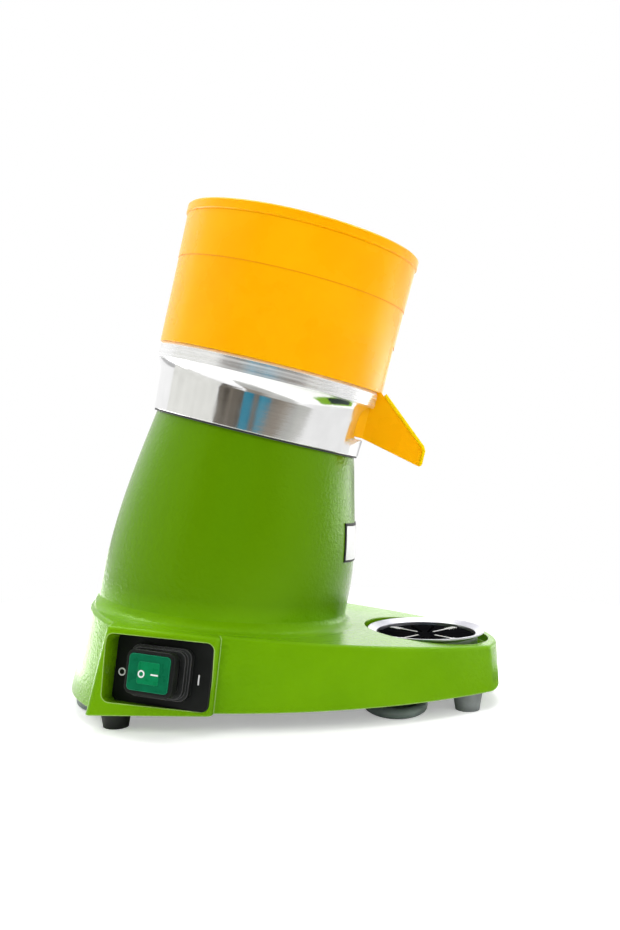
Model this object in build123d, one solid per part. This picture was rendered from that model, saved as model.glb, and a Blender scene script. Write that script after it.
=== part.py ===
from build123d import *
import os
from math import cos, pi, radians, sin, sqrt, tan

# Commercial citrus juicer: a motor column that leans forward on a cast base, with a lift-off bowl,
# strainer and squeezer on top, a drip dish in the base and a folded supply cord underneath.
# Frame: +X to the front (spout and drip dish), -Y the side with the switch, +Z up.
# The origin is on the floor, under the middle of the base. Sizes are in millimetres and degrees.

os.makedirs("parts", exist_ok=True)

# Shared fits
running_gap = 0.4
loose_gap = 1.5
seat_gap = 0.2

# Stance and lean of the motor axis
foot_height = 12.0
tilt = 13.7
axis_foot_x = -63.5

# Base of the casting, seen from above
base_rear_x = -145.5
base_front_x = 150.0
base_half_width = 93.5
rear_arc_radius = 131.0
rear_corner_radius = 22.0
taper_start_x = -35.0
side_arc_radius = 290.0
nose_bow = 8.0
nose_corner_radius = 9.0

# Base of the casting, seen from the side
deck_height = 56.0
deck_fall = 5.7
side_draft = 3.5
casting_wall = 4.5
deck_edge_radius = 2.5
column_crease_radius = 7.0

# Column of the casting, along the leaning axis from the floor
column_top = 190.0
column_top_radius = 70.0
column_low = -40.0
column_foot_radius = 80.8
column_taper = 8.5
column_bend_radius = 550.0
column_front_radius = 90.3
column_front_taper = 14.6
column_front_bend_radius = 260.0
column_sections = 9
column_flange = 6.0
motor_opening_radius = 52.5

# Switch box on the side of the base and its sunk plate
box_rear_x = -115.0
box_front_x = -37.0
box_proud = 6.5
box_depth = 20.0
box_flank_lean = 6.0
box_corner_radius = 4.0
plate_shift = 7.5
plate_inset = 2.0
plate_side = 7.0
plate_sill = 4.4
plate_head = 5.4
plate_turn = 14.0
plate_lean = 10.0
plate_slope = 3.2
plate_corner = 4.5
plate_thickness = 2.0

# Switch, measured from the face of its plate
switch_body_width = 29.0
switch_body_height = 21.0
switch_body_depth = 17.0
switch_neck_width = 24.0
switch_cheek_width = 8.0
switch_cheek_thickness = 3.0
boot_flange_width = 40.0
boot_flange_height = 31.5
boot_flange_rise = 4.5
boot_step_width = 36.0
boot_step_height = 28.8
boot_step_rise = 4.0
boot_wall = 3.5
boot_corner = 6.0
cap_width = 33.0
cap_height = 26.8
cap_rise = 6.0
cap_lift = 3.0
cap_corner = 5.0
cap_edge_radius = 1.2
window_border = 2.3
window_thickness = 1.6
window_proud = 0.5
rocker_pin_radius = 2.5
rocker_pin_height = 5.5
rocker_web = 6.0
rocker_head_width = 22.0
rocker_head_height = 20.0
rocker_head_thickness = 2.0
rocker_rest_tilt = 5.0

# Collar that carries the bowl
collar_height = 45.5
collar_foot_radius = 72.5
collar_waist_radius = 74.0
collar_waist = 24.0
collar_band_radius = 78.0
collar_band_height = 10.5
collar_bevel = 2.2
collar_wall = 4.5
collar_band_wall = 2.5
collar_floor = 4.0
collar_hub_radius = 18.0
collar_hub_height = 7.0
collar_window_height = 22.5
collar_window_corner = 6.0
collar_flare_dip = 1.2
collar_screw_circle = 57.0
collar_screws = 4
collar_screw_angle = 45.0

# Bowl
bowl_foot_radius = 79.0
bowl_mouth_radius = 80.5
bowl_height = 94.5
bowl_wall = 3.0
rim_overhang = 1.3
rim_height = 7.0
rim_round = 0.9
witness_drop = 33.0
witness_step = 0.4
spigot_height = 4.0
spigot_wall = 2.2
well_radius = 66.0
well_depth = 32.5
well_wall = 2.5
chimney_wall = 2.5
chimney_gap = 4.0
chimney_height = 46.0

# Spout of the bowl
spout_root = 72.6
spout_reach = 114.5
spout_root_half = 18.0
spout_tip_half = 15.0
spout_root_rise = 37.5
spout_tip_rise = 11.5
spout_drop = 9.5
spout_wall = 2.5
gusset_root = 60.0
gusset_half = 31.0

# Strainer and squeezer
strainer_gap = 2.5
strainer_thickness = 1.2
strainer_rim = 8.0
strainer_hole = 17.0
strainer_slots = 36
slot_width = 2.4
slot_inner = 43.0
slot_outer = 61.0
squeezer_radius = 37.0
squeezer_height = 66.0
squeezer_lift = 7.0
squeezer_core_drop = 6.0
squeezer_blades = 5
squeezer_tip_radius = 3.7
# Points of the squeezer's pointed outline, as shares of its radius and rise
dome_points = [(0.95, 0.3), (0.8, 0.55), (0.5, 0.8)]
rib_thickness = 4.0
squeezer_foot = 4.0

# Motor, along the leaning axis from the floor
shaft_radius = 6.0
shaft_low = 64.0
shaft_grip = 18.0
bearing_radius = 14.0
bearing_width = 10.0
stack_low = 100.0
stack_length = 48.0
stack_radius = 50.0
air_gap = 0.6
rotor_radius = 27.0
winding_overhang = 13.0
winding_inner = 31.0
winding_outer = 42.0
winding_round = 3.0
shield_radius = 52.0
shield_skirt = 8.0
shield_plate = 6.0
shield_depth = 18.0
shield_hub_radius = 20.0
shield_flange_radius = 62.0
bolt_radius = 2.0
bolt_head_radius = 3.6
bolt_head_height = 2.4
bolt_circle = 46.8
motor_bolts = 4
fan_radius = 42.0
fan_height = 9.0
fan_blades = 9
fan_disc = 1.8
fan_hub_radius = 11.0
pin_radius = 2.0
pin_half_length = 8.5
pin_drop = 9.0
seal_radius = 11.0

# Drip dish and grid in the front of the base
dish_setback = 50.0
dish_sink = 5.7
dish_pocket_radius = 43.0
dish_radius = 35.6
dish_lip_radius = 40.5
dish_height = 11.6
dish_flare_height = 8.0
dish_wall = 1.2
grid_rise = 5.8
grid_thickness = 2.6
grid_ridge = 0.9
grid_ridge_width = 1.2
grid_teeth = 5
grid_tooth_pitch = 2.0
grid_tooth_length = 4.5
grid_rib_reach = 23.0
grid_rim = 3.0
grid_hub_radius = 8.0
grid_ribs = 4
grid_rib_angle = 45.0
grid_slots = 12
grid_slot_width = 2.4
grid_leg_radius = 3.0
grid_legs = 3

# Underside
sheet_thickness = 2.0
sheet_z = 20.0
sheet_gap = 0.6
sheet_vents = 5
vent_width = 3.0
vent_length = 22.5
vent_pitch = 9.0
boss_radius = 6.0
screw_radius = 1.8
screw_head_radius = 3.6
screw_head_height = 2.2
screw_length = 10.0
foot_top_radius = 10.0
foot_bottom_radius = 8.0
foot_recess_radius = 5.0
foot_recess_depth = 5.0
foot_screw_radius = 2.4
foot_screw_head_radius = 4.4
foot_screw_head_height = 2.6
foot_screw_length = 20.0
rear_foot_setback = 45.5
rear_foot_inset = 13.5
front_foot_setback = 25.0
front_foot_inset = 11.9
front_screw_setback = 47.0
rear_screw_setback = 21.0
capacitor_radius = 11.0
capacitor_length = 52.0
capacitor_round = 1.5
capacitor_x = 26.0
capacitor_y = 42.0
clip_width = 12.0
clip_thickness = 1.2
clip_tab = 9.0
terminal_length = 27.0
terminal_depth = 16.0
terminal_height = 13.0
terminal_poles = 3
terminal_screw_radius = 2.25
terminal_screw_depth = 6.5
terminal_wire_radius = 1.8
terminal_wire_height = 4.3
terminal_x = 8.0
terminal_y = -40.0

# Supply cord
cord_diameter = 7.0
gland_x = -62.0
gland_y = -52.0
gland_radius = 8.5
gland_low = 5.0
gland_cap = 3.0
gland_length = 23.0
gland_tip_radius = 5.0
gland_dip = 12.0
hank_x = 77.0
hank_near = -40.0
hank_far = 40.0
hank_start = 12.0
hank_end = -14.0
hank_inner_radius = 11.5
hank_step = 7.5
plug_x = 24.0
plug_y = 118.5
plug_radius = 15.0
plug_boot_radius = 5.6
plug_boot_length = 22.0
plug_boot_flare = 2.8
plug_length = 34.0
plug_neck_radius = 13.0
plug_neck_length = 4.0
plug_shoulder_length = 10.0
plug_edge = 1.0
plug_pin_radius = 2.3
plug_pin_length = 19.0
plug_pin_spread = 9.5
plug_pin_chamfer = 0.8

# Route of the lead from the gland to the hank, and of the tail from the hank to the plug
lead_points = [
    (-120.3, -52.4, 3.5),
    (-134.9, -37.6, 3.5),
    (-134.9, -17.0, 3.5),
    (-120.3, -2.4, 3.5),
    (-82.0, 4.0, 3.5),
    (-34.0, 18.0, 3.5),
    (4.0, 39.0, 3.5),
    (27.0, 49.5, 3.5),
    (46.0, 46.5, 3.5),
    (58.0, 31.0, 3.5),
]
tail_points = [
    (96.0, 0.0, 11.0),
    (100.5, 16.0, 11.0),
    (106.0, 32.0, 8.5),
    (107.0, 51.0, 3.8),
    (104.0, 74.0, 3.5),
    (95.0, 97.0, 3.5),
    (76.0, 112.0, 4.5),
    (58.0, 117.5, 9.5),
    (40.0, 118.5, 15.0),
]



def deck_at(x):
    """Height of the sloping deck over a place along the base."""
    return deck_height - x * tan(radians(deck_fall))


def base_half_at(x):
    """Half width of the base's foot at a place along its tapering front."""
    return base_half_width - side_arc_radius + sqrt(side_arc_radius**2 - (x - taper_start_x) ** 2)


# Values worked out from the ones above
far = 400.0
nose_x = base_front_x - nose_bow
dish_x = base_front_x - dish_setback
dish_floor_z = deck_at(dish_x + dish_pocket_radius) - dish_sink
box_side_y = -base_half_width - box_proud
plate_x = (box_rear_x + box_front_x) / 2 + plate_shift
plate_y = -base_half_width + plate_inset
plate_width = box_front_x - box_rear_x - 2 * plate_side
plate_height = deck_at(plate_x) - foot_height - plate_sill - plate_head
plate_z = foot_height + plate_sill + plate_height / 2
collar_low = column_top
collar_top = collar_low + collar_height
bowl_low = collar_top
bowl_top = bowl_low + bowl_height
bowl_floor = bowl_low + bowl_wall
well_low = bowl_low - well_depth
well_floor = well_low + well_wall
chimney_bore = shaft_radius + chimney_gap
chimney_radius = chimney_bore + chimney_wall
chimney_top = well_low + chimney_height
strainer_radius = bowl_foot_radius - bowl_wall - strainer_gap
squeezer_low = bowl_floor + squeezer_lift
hub_low = chimney_top + loose_gap
shaft_top = hub_low + shaft_grip
pin_s = shaft_top - pin_drop
stack_top = stack_low + stack_length
flange_low = column_top - column_flange
shaft_hole = shaft_radius + running_gap
lower_plate = stack_low - shield_depth
upper_plate = stack_top + shield_depth
sheet_top = sheet_z + sheet_thickness
foot_screw_top = foot_recess_depth + foot_screw_length
spout_half_slot = spout_root_half + loose_gap
cord_radius = cord_diameter / 2.0
neck_height = switch_body_height - 2 * seat_gap
cap_low = boot_flange_rise + boot_step_rise + cap_lift
cap_top = cap_low + cap_rise
dish_floor_top = dish_floor_z + dish_wall
grid_radius = dish_radius - dish_wall - running_gap
grid_top = dish_floor_top + grid_rise
hank_outer_radius = hank_inner_radius + hank_step
hank_middle_radius = hank_inner_radius + hank_step / 2

on_axis = Plane(
    origin=(axis_foot_x, 0, 0),
    x_dir=(cos(radians(tilt)), 0, -sin(radians(tilt))),
    z_dir=(sin(radians(tilt)), 0, cos(radians(tilt))),
)
plate_face = Plane(
    origin=(plate_x, plate_y, plate_z),
    x_dir=(cos(radians(plate_turn)), -sin(radians(plate_turn)), 0),
    z_dir=(
        -sin(radians(plate_turn)) * cos(radians(plate_lean)),
        -cos(radians(plate_turn)) * cos(radians(plate_lean)),
        sin(radians(plate_lean)),
    ),
)
on_plate = Plane(plate_face.location * Rot(0, 0, -plate_slope))
at_dish = Pos(dish_x, 0, 0)
rocker_rest = on_plate.location * Pos(0, 0, rocker_pin_height) * Rot(0, -rocker_rest_tilt, 0)
rocker_rest = rocker_rest * Pos(0, 0, -rocker_pin_height)

rear_foot_x = base_rear_x + rear_foot_setback
rear_foot_y = base_half_width - rear_foot_inset
front_foot_x = base_front_x - front_foot_setback
front_foot_y = base_half_at(front_foot_x) - front_foot_inset
foot_places = {
    "foot_rear_right": (rear_foot_x, -rear_foot_y),
    "foot_rear_left": (rear_foot_x, rear_foot_y),
    "foot_front_right": (front_foot_x, -front_foot_y),
    "foot_front_left": (front_foot_x, front_foot_y),
}
side_screw_y = base_half_width - casting_wall - boss_radius
front_screw_x = base_front_x - front_screw_setback
front_screw_y = base_half_at(front_screw_x) - casting_wall - boss_radius - loose_gap
sheet_screw_places = [
    (taper_start_x, -side_screw_y),
    (taper_start_x, side_screw_y),
    (front_screw_x, -front_screw_y),
    (front_screw_x, front_screw_y),
    (base_rear_x + rear_screw_setback, 0),
]

nodes = {}


def keep(name, part):
    """Keep a finished sub-part under its node's name."""
    part.label = name
    nodes[name] = part


def spun_edges(edges):
    """Turn a closed outline of edges, drawn as radius and height, about Z."""
    return revolve(Plane.XZ * make_face(edges), Axis.Z)


def spun(*corners):
    """Turn a closed outline of (radius, height) corners about Z."""
    return spun_edges(Polyline(*corners, close=True).edges())


def drum(radius, low, high):
    """Round bar about Z between two heights."""
    return Pos(0, 0, low) * Cylinder(radius, high - low, align=(Align.CENTER, Align.CENTER, Align.MIN))


def ring(radius, bore, low, high):
    """Round tube about Z between two heights."""
    return drum(radius, low, high) - drum(bore, low, high)


def slab(width, depth, corner, low, high):
    """Plate with rounded corners, square to Z, between two heights."""
    return Pos(0, 0, low) * extrude(RectangleRounded(width, depth, corner), high - low)


def block(x_low, x_high, y_low, y_high, z_low, z_high):
    """Plain block between two corners."""
    size = (x_high - x_low, y_high - y_low, z_high - z_low)
    return Pos(x_low, y_low, z_low) * Box(*size, align=(Align.MIN, Align.MIN, Align.MIN))


def level_face(x_low, x_high, y_low, y_high, z):
    """Level rectangle between two corners."""
    return Pos((x_low + x_high) / 2, (y_low + y_high) / 2, z) * Rectangle(x_high - x_low, y_high - y_low)


def upright_face(x, half, low, high):
    """Rectangle square to X, the same each side of the middle plane."""
    return Plane.YZ.offset(x) * Pos(0, (low + high) / 2) * Rectangle(2 * half, high - low)


def around(part, count, start=0.0):
    """Copies of a part, evenly spaced about Z."""
    return [Rot(0, 0, start + 360.0 * k / count) * part for k in range(count)]


def group(parts):
    """Separate solids that share one node."""
    return Compound(children=[solid for part in parts for solid in part.solids()])


def base_face(height, inset):
    """Plan of the base at a height, drawn in by the walls' draft and by an inset."""
    climb = height - foot_height
    draw_in = inset + climb * tan(radians(side_draft))
    half = base_half_width - draw_in
    rear = base_rear_x + inset + climb * tan(radians(tilt))
    rear_radius = rear_arc_radius - inset
    rear_corner_x = rear + rear_radius - sqrt(rear_radius**2 - half**2)
    side_radius = side_arc_radius - draw_in
    nose = nose_x - draw_in
    nose_half = half - side_radius + sqrt(side_radius**2 - (nose - taper_start_x) ** 2)
    front = base_front_x - draw_in
    edges = [
        ThreePointArc((rear_corner_x, half), (rear, 0), (rear_corner_x, -half)),
        Line((rear_corner_x, -half), (taper_start_x, -half)),
        TangentArc((taper_start_x, -half), (nose, -nose_half), tangent=(1, 0)),
        ThreePointArc((nose, -nose_half), (front, 0), (nose, nose_half)),
        TangentArc((taper_start_x, half), (nose, nose_half), tangent=(1, 0)),
        Line((taper_start_x, half), (rear_corner_x, half)),
    ]
    plan = make_face(edges)
    plan = fillet(plan.vertices().group_by(Axis.X)[0], rear_corner_radius - inset)
    plan = fillet(plan.vertices().group_by(Axis.X)[-1], nose_corner_radius - inset)
    return Pos(0, 0, height) * plan


def base_block(inset, low, high):
    """Base between two heights, with its drafted sides and leaning rear wall."""
    return loft([base_face(low, inset), base_face(high, inset)], ruled=True)


def above_deck(drop):
    """Everything above the sloping deck, or above a plane a little under it."""
    start = Pos(0, 0, deck_height - drop) * Rot(0, deck_fall, 0)
    return start * Box(2 * far, 2 * far, far, align=(Align.CENTER, Align.CENTER, Align.MIN))


def below(height):
    """Everything under a level."""
    return Pos(0, 0, height) * Box(2 * far, 2 * far, far, align=(Align.CENTER, Align.CENTER, Align.MAX))


def bent_side(height, foot_radius, taper, bend_radius):
    """Distance from the axis of a side that rises straight and bends in towards the column's top."""
    slope = tan(radians(taper))
    corner = column_top - (foot_radius - column_top_radius) / slope
    reach = bend_radius * tan(radians(taper / 2))
    if height <= corner - reach:
        return foot_radius
    if height >= corner + reach * cos(radians(taper)):
        return column_top_radius + (column_top - height) * slope
    return foot_radius - bend_radius + sqrt(bend_radius**2 - (height - corner + reach) ** 2)


def column_section(height, inset):
    """Oval section of the column at a height along its axis, longer to the front low down."""
    rear = bent_side(height, column_foot_radius, column_taper, column_bend_radius)
    front = bent_side(height, column_front_radius, column_front_taper, column_front_bend_radius)
    return Pos((front - rear) / 2, 0, height) * Ellipse((front + rear) / 2 - inset, rear - inset)


def column_block(inset, top):
    """Column round its leaning axis, from under the floor to a height along the axis."""
    step = (top - column_low) / (column_sections - 1)
    heights = [column_low + step * k for k in range(column_sections)]
    return on_axis * loft([column_section(height, inset) for height in heights])


def base_solid():
    """Base under its sloping deck, with the deck's edge rounded."""
    solid = base_block(0, foot_height, foot_height + deck_height) - above_deck(0)
    deck = solid.faces().sort_by(Axis.Z)[-1]
    return fillet(deck.edges(), deck_edge_radius)


def switch_box():
    """Raised box on the side of the base that frames the switch plate."""
    top = foot_height + deck_height
    rear_shift = deck_height * tan(radians(tilt))
    front_shift = deck_height * tan(radians(box_flank_lean))
    side_shift = deck_height * tan(radians(side_draft))
    inner_y = box_side_y + box_depth
    rear = box_rear_x + rear_shift
    front = box_front_x + front_shift
    low = level_face(box_rear_x, box_front_x, box_side_y, inner_y, foot_height)
    high = level_face(rear, front, box_side_y + side_shift, inner_y, top)
    solid = loft([low, high], ruled=True)
    upright = [edge for edge in solid.edges() if edge.bounding_box().size.Z > box_depth]
    outer = [edge for edge in upright if edge.center().Y < plate_y]
    solid = fillet(outer, box_corner_radius) - above_deck(0)
    lid = solid.faces().sort_by(Axis.Z)[-1]
    return fillet(lid.edges(), deck_edge_radius)


def crease_skirt():
    """Rounded inner corner between the deck and the foot of the column."""
    deck = block(-far, far, -far, far, 0, far) - above_deck(0)
    joined = deck + (column_block(0, column_top) - below(1))
    crease = [edge for edge in joined.edges() if edge.geom_type != GeomType.LINE]
    crease = [edge for edge in crease if foot_height < edge.center().Z < 2 * deck_height]
    rounded = fillet(crease, column_crease_radius) - column_block(casting_wall, column_top)
    inside_base = base_block(deck_edge_radius, foot_height, 2 * deck_height)
    return rounded & above_deck(deck_edge_radius) & inside_base


def casting_bosses():
    """Bosses for the feet and the bottom plate, the dish's pocket and the frame of the switch plate."""
    bosses = [Pos(x, y) * drum(foot_top_radius, foot_height, deck_height) for x, y in foot_places.values()]
    bosses += [Pos(x, y) * drum(boss_radius, sheet_top, deck_height) for x, y in sheet_screw_places]
    dish_boss_radius = dish_pocket_radius + casting_wall
    bosses.append(at_dish * drum(dish_boss_radius, dish_floor_z - casting_wall, deck_height))
    bosses.append(switch_frame(casting_wall, box_depth))
    return bosses


def switch_frame(wall, rise):
    """Block that the switch plate's pocket is cut from."""
    width = plate_width + 2 * (seat_gap + wall)
    height = plate_height + 2 * (seat_gap + wall)
    return on_plate * slab(width, height, plate_corner + wall, -plate_thickness - wall, rise)


def switch_pocket():
    """Room for the switch plate, open to the outside, and the window behind it."""
    width = plate_width + 2 * seat_gap
    height = plate_height + 2 * seat_gap
    room = slab(width, height, plate_corner, -plate_thickness, box_depth)
    window_low = -plate_thickness - 2 * casting_wall
    window = slab(switch_body_width + loose_gap, switch_body_height + loose_gap, loose_gap, window_low, 0)
    return on_plate * (room + window)


def body_casting():
    """Column and base as one hollow casting, with its pockets, bosses and flange."""
    low = foot_height - casting_wall
    outer = base_solid() + switch_box()
    column = column_block(0, column_top) - below(foot_height)
    cavity = base_block(casting_wall, low, foot_height + deck_height) - above_deck(casting_wall)
    cavity = cavity + (column_block(casting_wall, flange_low) - below(low))
    shell = outer + column + crease_skirt() - cavity
    for boss in casting_bosses():
        shell = shell + (boss & outer)
    shell = shell - at_dish * drum(dish_pocket_radius, dish_floor_z, 2 * deck_height) - switch_pocket()
    shell = shell - on_axis * drum(motor_opening_radius, flange_low, column_top)
    for x, y in foot_places.values():
        shell = shell - Pos(x, y) * drum(foot_screw_radius, foot_height, foot_screw_top)
    for x, y in sheet_screw_places:
        shell = shell - Pos(x, y) * drum(screw_radius, sheet_top, sheet_z + screw_length)
    screw_hole = Pos(collar_screw_circle, 0) * drum(screw_radius + seat_gap, flange_low, column_top)
    for hole in around(screw_hole, collar_screws, collar_screw_angle):
        shell = shell - on_axis * hole
    return shell


def bottom_plate():
    """Sheet that closes the base, notched round the foot bosses and the switch frame."""
    sheet = extrude(base_face(sheet_z, casting_wall + sheet_gap), sheet_thickness)
    for x, y in foot_places.values():
        sheet = sheet - Pos(x, y) * drum(foot_top_radius + sheet_gap, sheet_z, sheet_top)
    for x, y in sheet_screw_places:
        sheet = sheet - Pos(x, y) * drum(screw_radius + seat_gap, sheet_z, sheet_top)
    sheet = sheet - switch_frame(casting_wall + sheet_gap, box_depth)
    sheet = sheet - Pos(gland_x, gland_y) * drum(gland_radius, sheet_z, sheet_top)
    vent_outline = Pos(0, 0, sheet_z) * Rot(0, 0, 90) * SlotOverall(vent_length, vent_width)
    vent = extrude(vent_outline, sheet_thickness)
    for k in range(sheet_vents):
        sheet = sheet - Pos(axis_foot_x + vent_pitch * (k - (sheet_vents - 1) / 2), 0) * vent
    return sheet


def foot(x, y):
    """Tapered rubber foot with a recess for its screw."""
    shape = spun(
        (foot_screw_radius + seat_gap, foot_height),
        (foot_top_radius, foot_height),
        (foot_bottom_radius, 0),
        (foot_recess_radius, 0),
        (foot_recess_radius, foot_recess_depth),
        (foot_screw_radius + seat_gap, foot_recess_depth),
    )
    return Pos(x, y) * shape


def foot_screw(x, y):
    """Screw that holds a foot, with its head up in the recess."""
    low = foot_recess_depth - foot_screw_head_height
    head = drum(foot_screw_head_radius, low, foot_recess_depth)
    return Pos(x, y) * (head + drum(foot_screw_radius, foot_recess_depth, foot_screw_top))


def sheet_screw(x, y):
    """Screw that holds the bottom plate."""
    head = drum(screw_head_radius, sheet_z - screw_head_height, sheet_z)
    return Pos(x, y) * (head + drum(screw_radius, sheet_z, sheet_z + screw_length))


def bowl_collar():
    """Polished collar on the column, cut away at the front for the spout."""
    band_low = collar_top - collar_band_height
    inner = collar_foot_radius - collar_wall
    band_inner = collar_band_radius - collar_band_wall
    waist = collar_low + collar_waist
    bevel_low = collar_top - collar_bevel
    bevel_radius = collar_band_radius - collar_bevel / 2
    flare_mid = (collar_waist_radius + collar_flare_dip, (waist + band_low) / 2)
    outside = [
        Line((seal_radius, collar_low), (collar_foot_radius, collar_low)),
        Line((collar_foot_radius, collar_low), (collar_waist_radius, waist)),
        ThreePointArc((collar_waist_radius, waist), flare_mid, (collar_band_radius, band_low)),
        Line((collar_band_radius, band_low), (collar_band_radius, bevel_low)),
        Line((collar_band_radius, bevel_low), (bevel_radius, collar_top)),
    ]
    inside = Polyline(
        (bevel_radius, collar_top),
        (band_inner, collar_top),
        (band_inner, band_low),
        (inner, waist),
        (inner, collar_low + collar_floor),
        (collar_hub_radius, collar_low + collar_floor),
        (collar_hub_radius, collar_low + collar_floor + collar_hub_height),
        (seal_radius, collar_low + collar_floor + collar_hub_height),
        (seal_radius, collar_low),
    )
    shape = spun_edges(outside + inside.edges())
    sill = well_low - loose_gap
    slot = block(gusset_root, 2 * collar_band_radius, -spout_half_slot, spout_half_slot, sill, far)
    width = 2 * (gusset_half + loose_gap)
    window = Plane.YZ.offset(gusset_root) * Pos(0, sill + collar_window_height / 2)
    window = window * RectangleRounded(width, collar_window_height, collar_window_corner)
    shape = shape - slot - extrude(window, collar_band_radius)
    floor_top = collar_low + collar_floor
    screw_hole = Pos(collar_screw_circle, 0) * drum(screw_radius + seat_gap, collar_low, floor_top)
    for hole in around(screw_hole, collar_screws, collar_screw_angle):
        shape = shape - hole
    return on_axis * shape


def collar_screw_set():
    """Screws through the collar and the column's flange into the motor's upper shield."""
    seat = collar_low + collar_floor
    head = drum(screw_head_radius, seat, seat + screw_head_height)
    screw = Pos(collar_screw_circle, 0) * (head + drum(screw_radius, flange_low - shield_plate, seat))
    return group([on_axis * one for one in around(screw, collar_screws, collar_screw_angle)])


def bowl_shell():
    """Turned form of the bowl: wall with rim and witness line, floor, juice well and chimney."""
    rim_radius = bowl_mouth_radius + rim_overhang
    rim_low = bowl_top - rim_height
    line_s = bowl_top - witness_drop
    slope = (bowl_mouth_radius - bowl_foot_radius) / (rim_low - bowl_low)
    line_radius = bowl_foot_radius + slope * (line_s - bowl_low)
    spigot_radius = collar_band_radius - collar_band_wall - seat_gap
    return spun(
        (chimney_bore, well_low),
        (well_radius, well_low),
        (well_radius, bowl_low),
        (spigot_radius - spigot_wall, bowl_low),
        (spigot_radius - spigot_wall, bowl_low - spigot_height),
        (spigot_radius, bowl_low - spigot_height),
        (spigot_radius, bowl_low),
        (bowl_foot_radius, bowl_low),
        (line_radius, line_s - witness_step),
        (line_radius - witness_step, line_s),
        (bowl_mouth_radius, rim_low),
        (rim_radius, rim_low + rim_round),
        (rim_radius, bowl_top - rim_round),
        (rim_radius - rim_round, bowl_top),
        (bowl_mouth_radius - bowl_wall, bowl_top),
        (bowl_foot_radius - bowl_wall, bowl_floor),
        (well_radius - well_wall, bowl_floor),
        (well_radius - well_wall, well_floor),
        (chimney_radius, well_floor),
        (chimney_radius, chimney_top),
        (chimney_bore, chimney_top),
    )


def spout_prism(inset, reach, rise):
    """Tapering chute of the spout, drawn in by a wall, with its top raised for cutting."""
    root_low = well_low + inset
    tip_low = well_low - spout_drop + inset
    root = upright_face(spout_root, spout_root_half - inset, root_low, well_low + spout_root_rise + rise)
    tip_high = well_low - spout_drop + spout_tip_rise + rise
    tip = upright_face(spout_reach + reach, spout_tip_half - inset, tip_low, tip_high)
    return loft([root, tip], ruled=True)


def bowl():
    """Bowl with its juice well and the open spout that leaves the well through a widening neck."""
    shell = bowl_shell()
    plan = Polyline(
        (gusset_root, -gusset_half),
        (spout_root, -spout_root_half),
        (spout_root, spout_root_half),
        (gusset_root, gusset_half),
        close=True,
    )
    neck = Pos(0, 0, well_low) * extrude(make_face(plan), well_depth)
    neck = neck - drum(well_radius - well_wall, well_low, bowl_low)
    bowl_inside = drum(bowl_foot_radius - bowl_wall, well_low, far)
    spout = spout_prism(0, 0, 0)
    shell = shell + neck + (spout - bowl_inside) + (spout & drum(far, 0, bowl_low))
    mouth = drum(bowl_foot_radius, bowl_low - spout_wall, far)
    channel = spout_prism(spout_wall, loose_gap, well_depth) - mouth
    half = spout_root_half - spout_wall
    passage = block(slot_inner, spout_root, -half, half, well_floor, bowl_low - spout_wall)
    passage = passage - drum(slot_inner, well_low, far)
    return on_axis * (shell - channel - passage)


def strainer():
    """Steel strainer on the bowl's floor, with radial slots and a low upturned rim."""
    low = bowl_floor
    shape = spun(
        (strainer_hole, low),
        (strainer_radius, low),
        (strainer_radius, low + strainer_rim),
        (strainer_radius - strainer_thickness, low + strainer_rim),
        (strainer_radius - strainer_thickness, low + strainer_thickness),
        (strainer_hole, low + strainer_thickness),
    )
    middle = (slot_inner + slot_outer) / 2
    opening = Pos(middle, 0) * SlotOverall(slot_outer - slot_inner, slot_width)
    openings = Sketch() + around(opening, strainer_slots)
    return on_axis * (shape - extrude(Pos(0, 0, low) * openings, strainer_thickness))


def dome(radius, low, high):
    """Pointed dome, like half a lemon, about Z."""
    rise = high - low
    flank, shoulder, cheek = [(across * radius, low + up * rise) for across, up in dome_points]
    tip = (squeezer_tip_radius, high)
    edges = [
        Line((0, low), (radius, low)),
        ThreePointArc((radius, low), flank, shoulder),
        ThreePointArc(shoulder, cheek, tip),
        Line(tip, (0, high)),
        Line((0, high), (0, low)),
    ]
    return spun_edges(edges)


def squeezer():
    """Ribbed squeezing cone that drops over the shaft and is turned by the cross pin."""
    top = squeezer_low + squeezer_height
    core = dome(squeezer_radius - squeezer_core_drop, squeezer_low, top - squeezer_core_drop)
    half = rib_thickness / 2
    blade = block(-squeezer_radius, squeezer_radius, -half, half, squeezer_low, top)
    ribs = Part() + [Rot(0, 0, 180.0 * k / squeezer_blades) * blade for k in range(squeezer_blades)]
    shape = core + (ribs & dome(squeezer_radius, squeezer_low, top))
    shape = shape + drum(squeezer_radius, squeezer_low, squeezer_low + squeezer_foot)
    slot_half = pin_radius + running_gap
    slot_reach = pin_half_length + running_gap
    slot = block(-slot_half, slot_half, -slot_reach, slot_reach, hub_low, pin_s + slot_half)
    shape = shape - drum(chimney_radius + loose_gap, squeezer_low, hub_low)
    return on_axis * (shape - drum(shaft_hole, hub_low, shaft_top) - slot)


def motor_shaft():
    """Motor shaft, from the fan up to the squeezer."""
    shape = drum(shaft_radius, shaft_low, shaft_top)
    pin_hole = Pos(0, 0, pin_s) * Rot(90, 0, 0) * Cylinder(pin_radius, 2 * shaft_radius)
    return on_axis * (shape - pin_hole)


def drive_pin():
    """Cross pin near the top of the shaft."""
    return on_axis * (Pos(0, 0, pin_s) * Rot(90, 0, 0) * Cylinder(pin_radius, 2 * pin_half_length))


def cooling_fan():
    """Radial fan on the lower end of the shaft."""
    low = shaft_low
    high = low + fan_height
    blade = block(fan_hub_radius - fan_disc, fan_radius, -fan_disc / 2, fan_disc / 2, low, high)
    shape = drum(fan_radius, high - fan_disc, high) + drum(fan_hub_radius, low, high)
    return on_axis * (shape + around(blade, fan_blades) - drum(shaft_radius, low, high))


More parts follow.
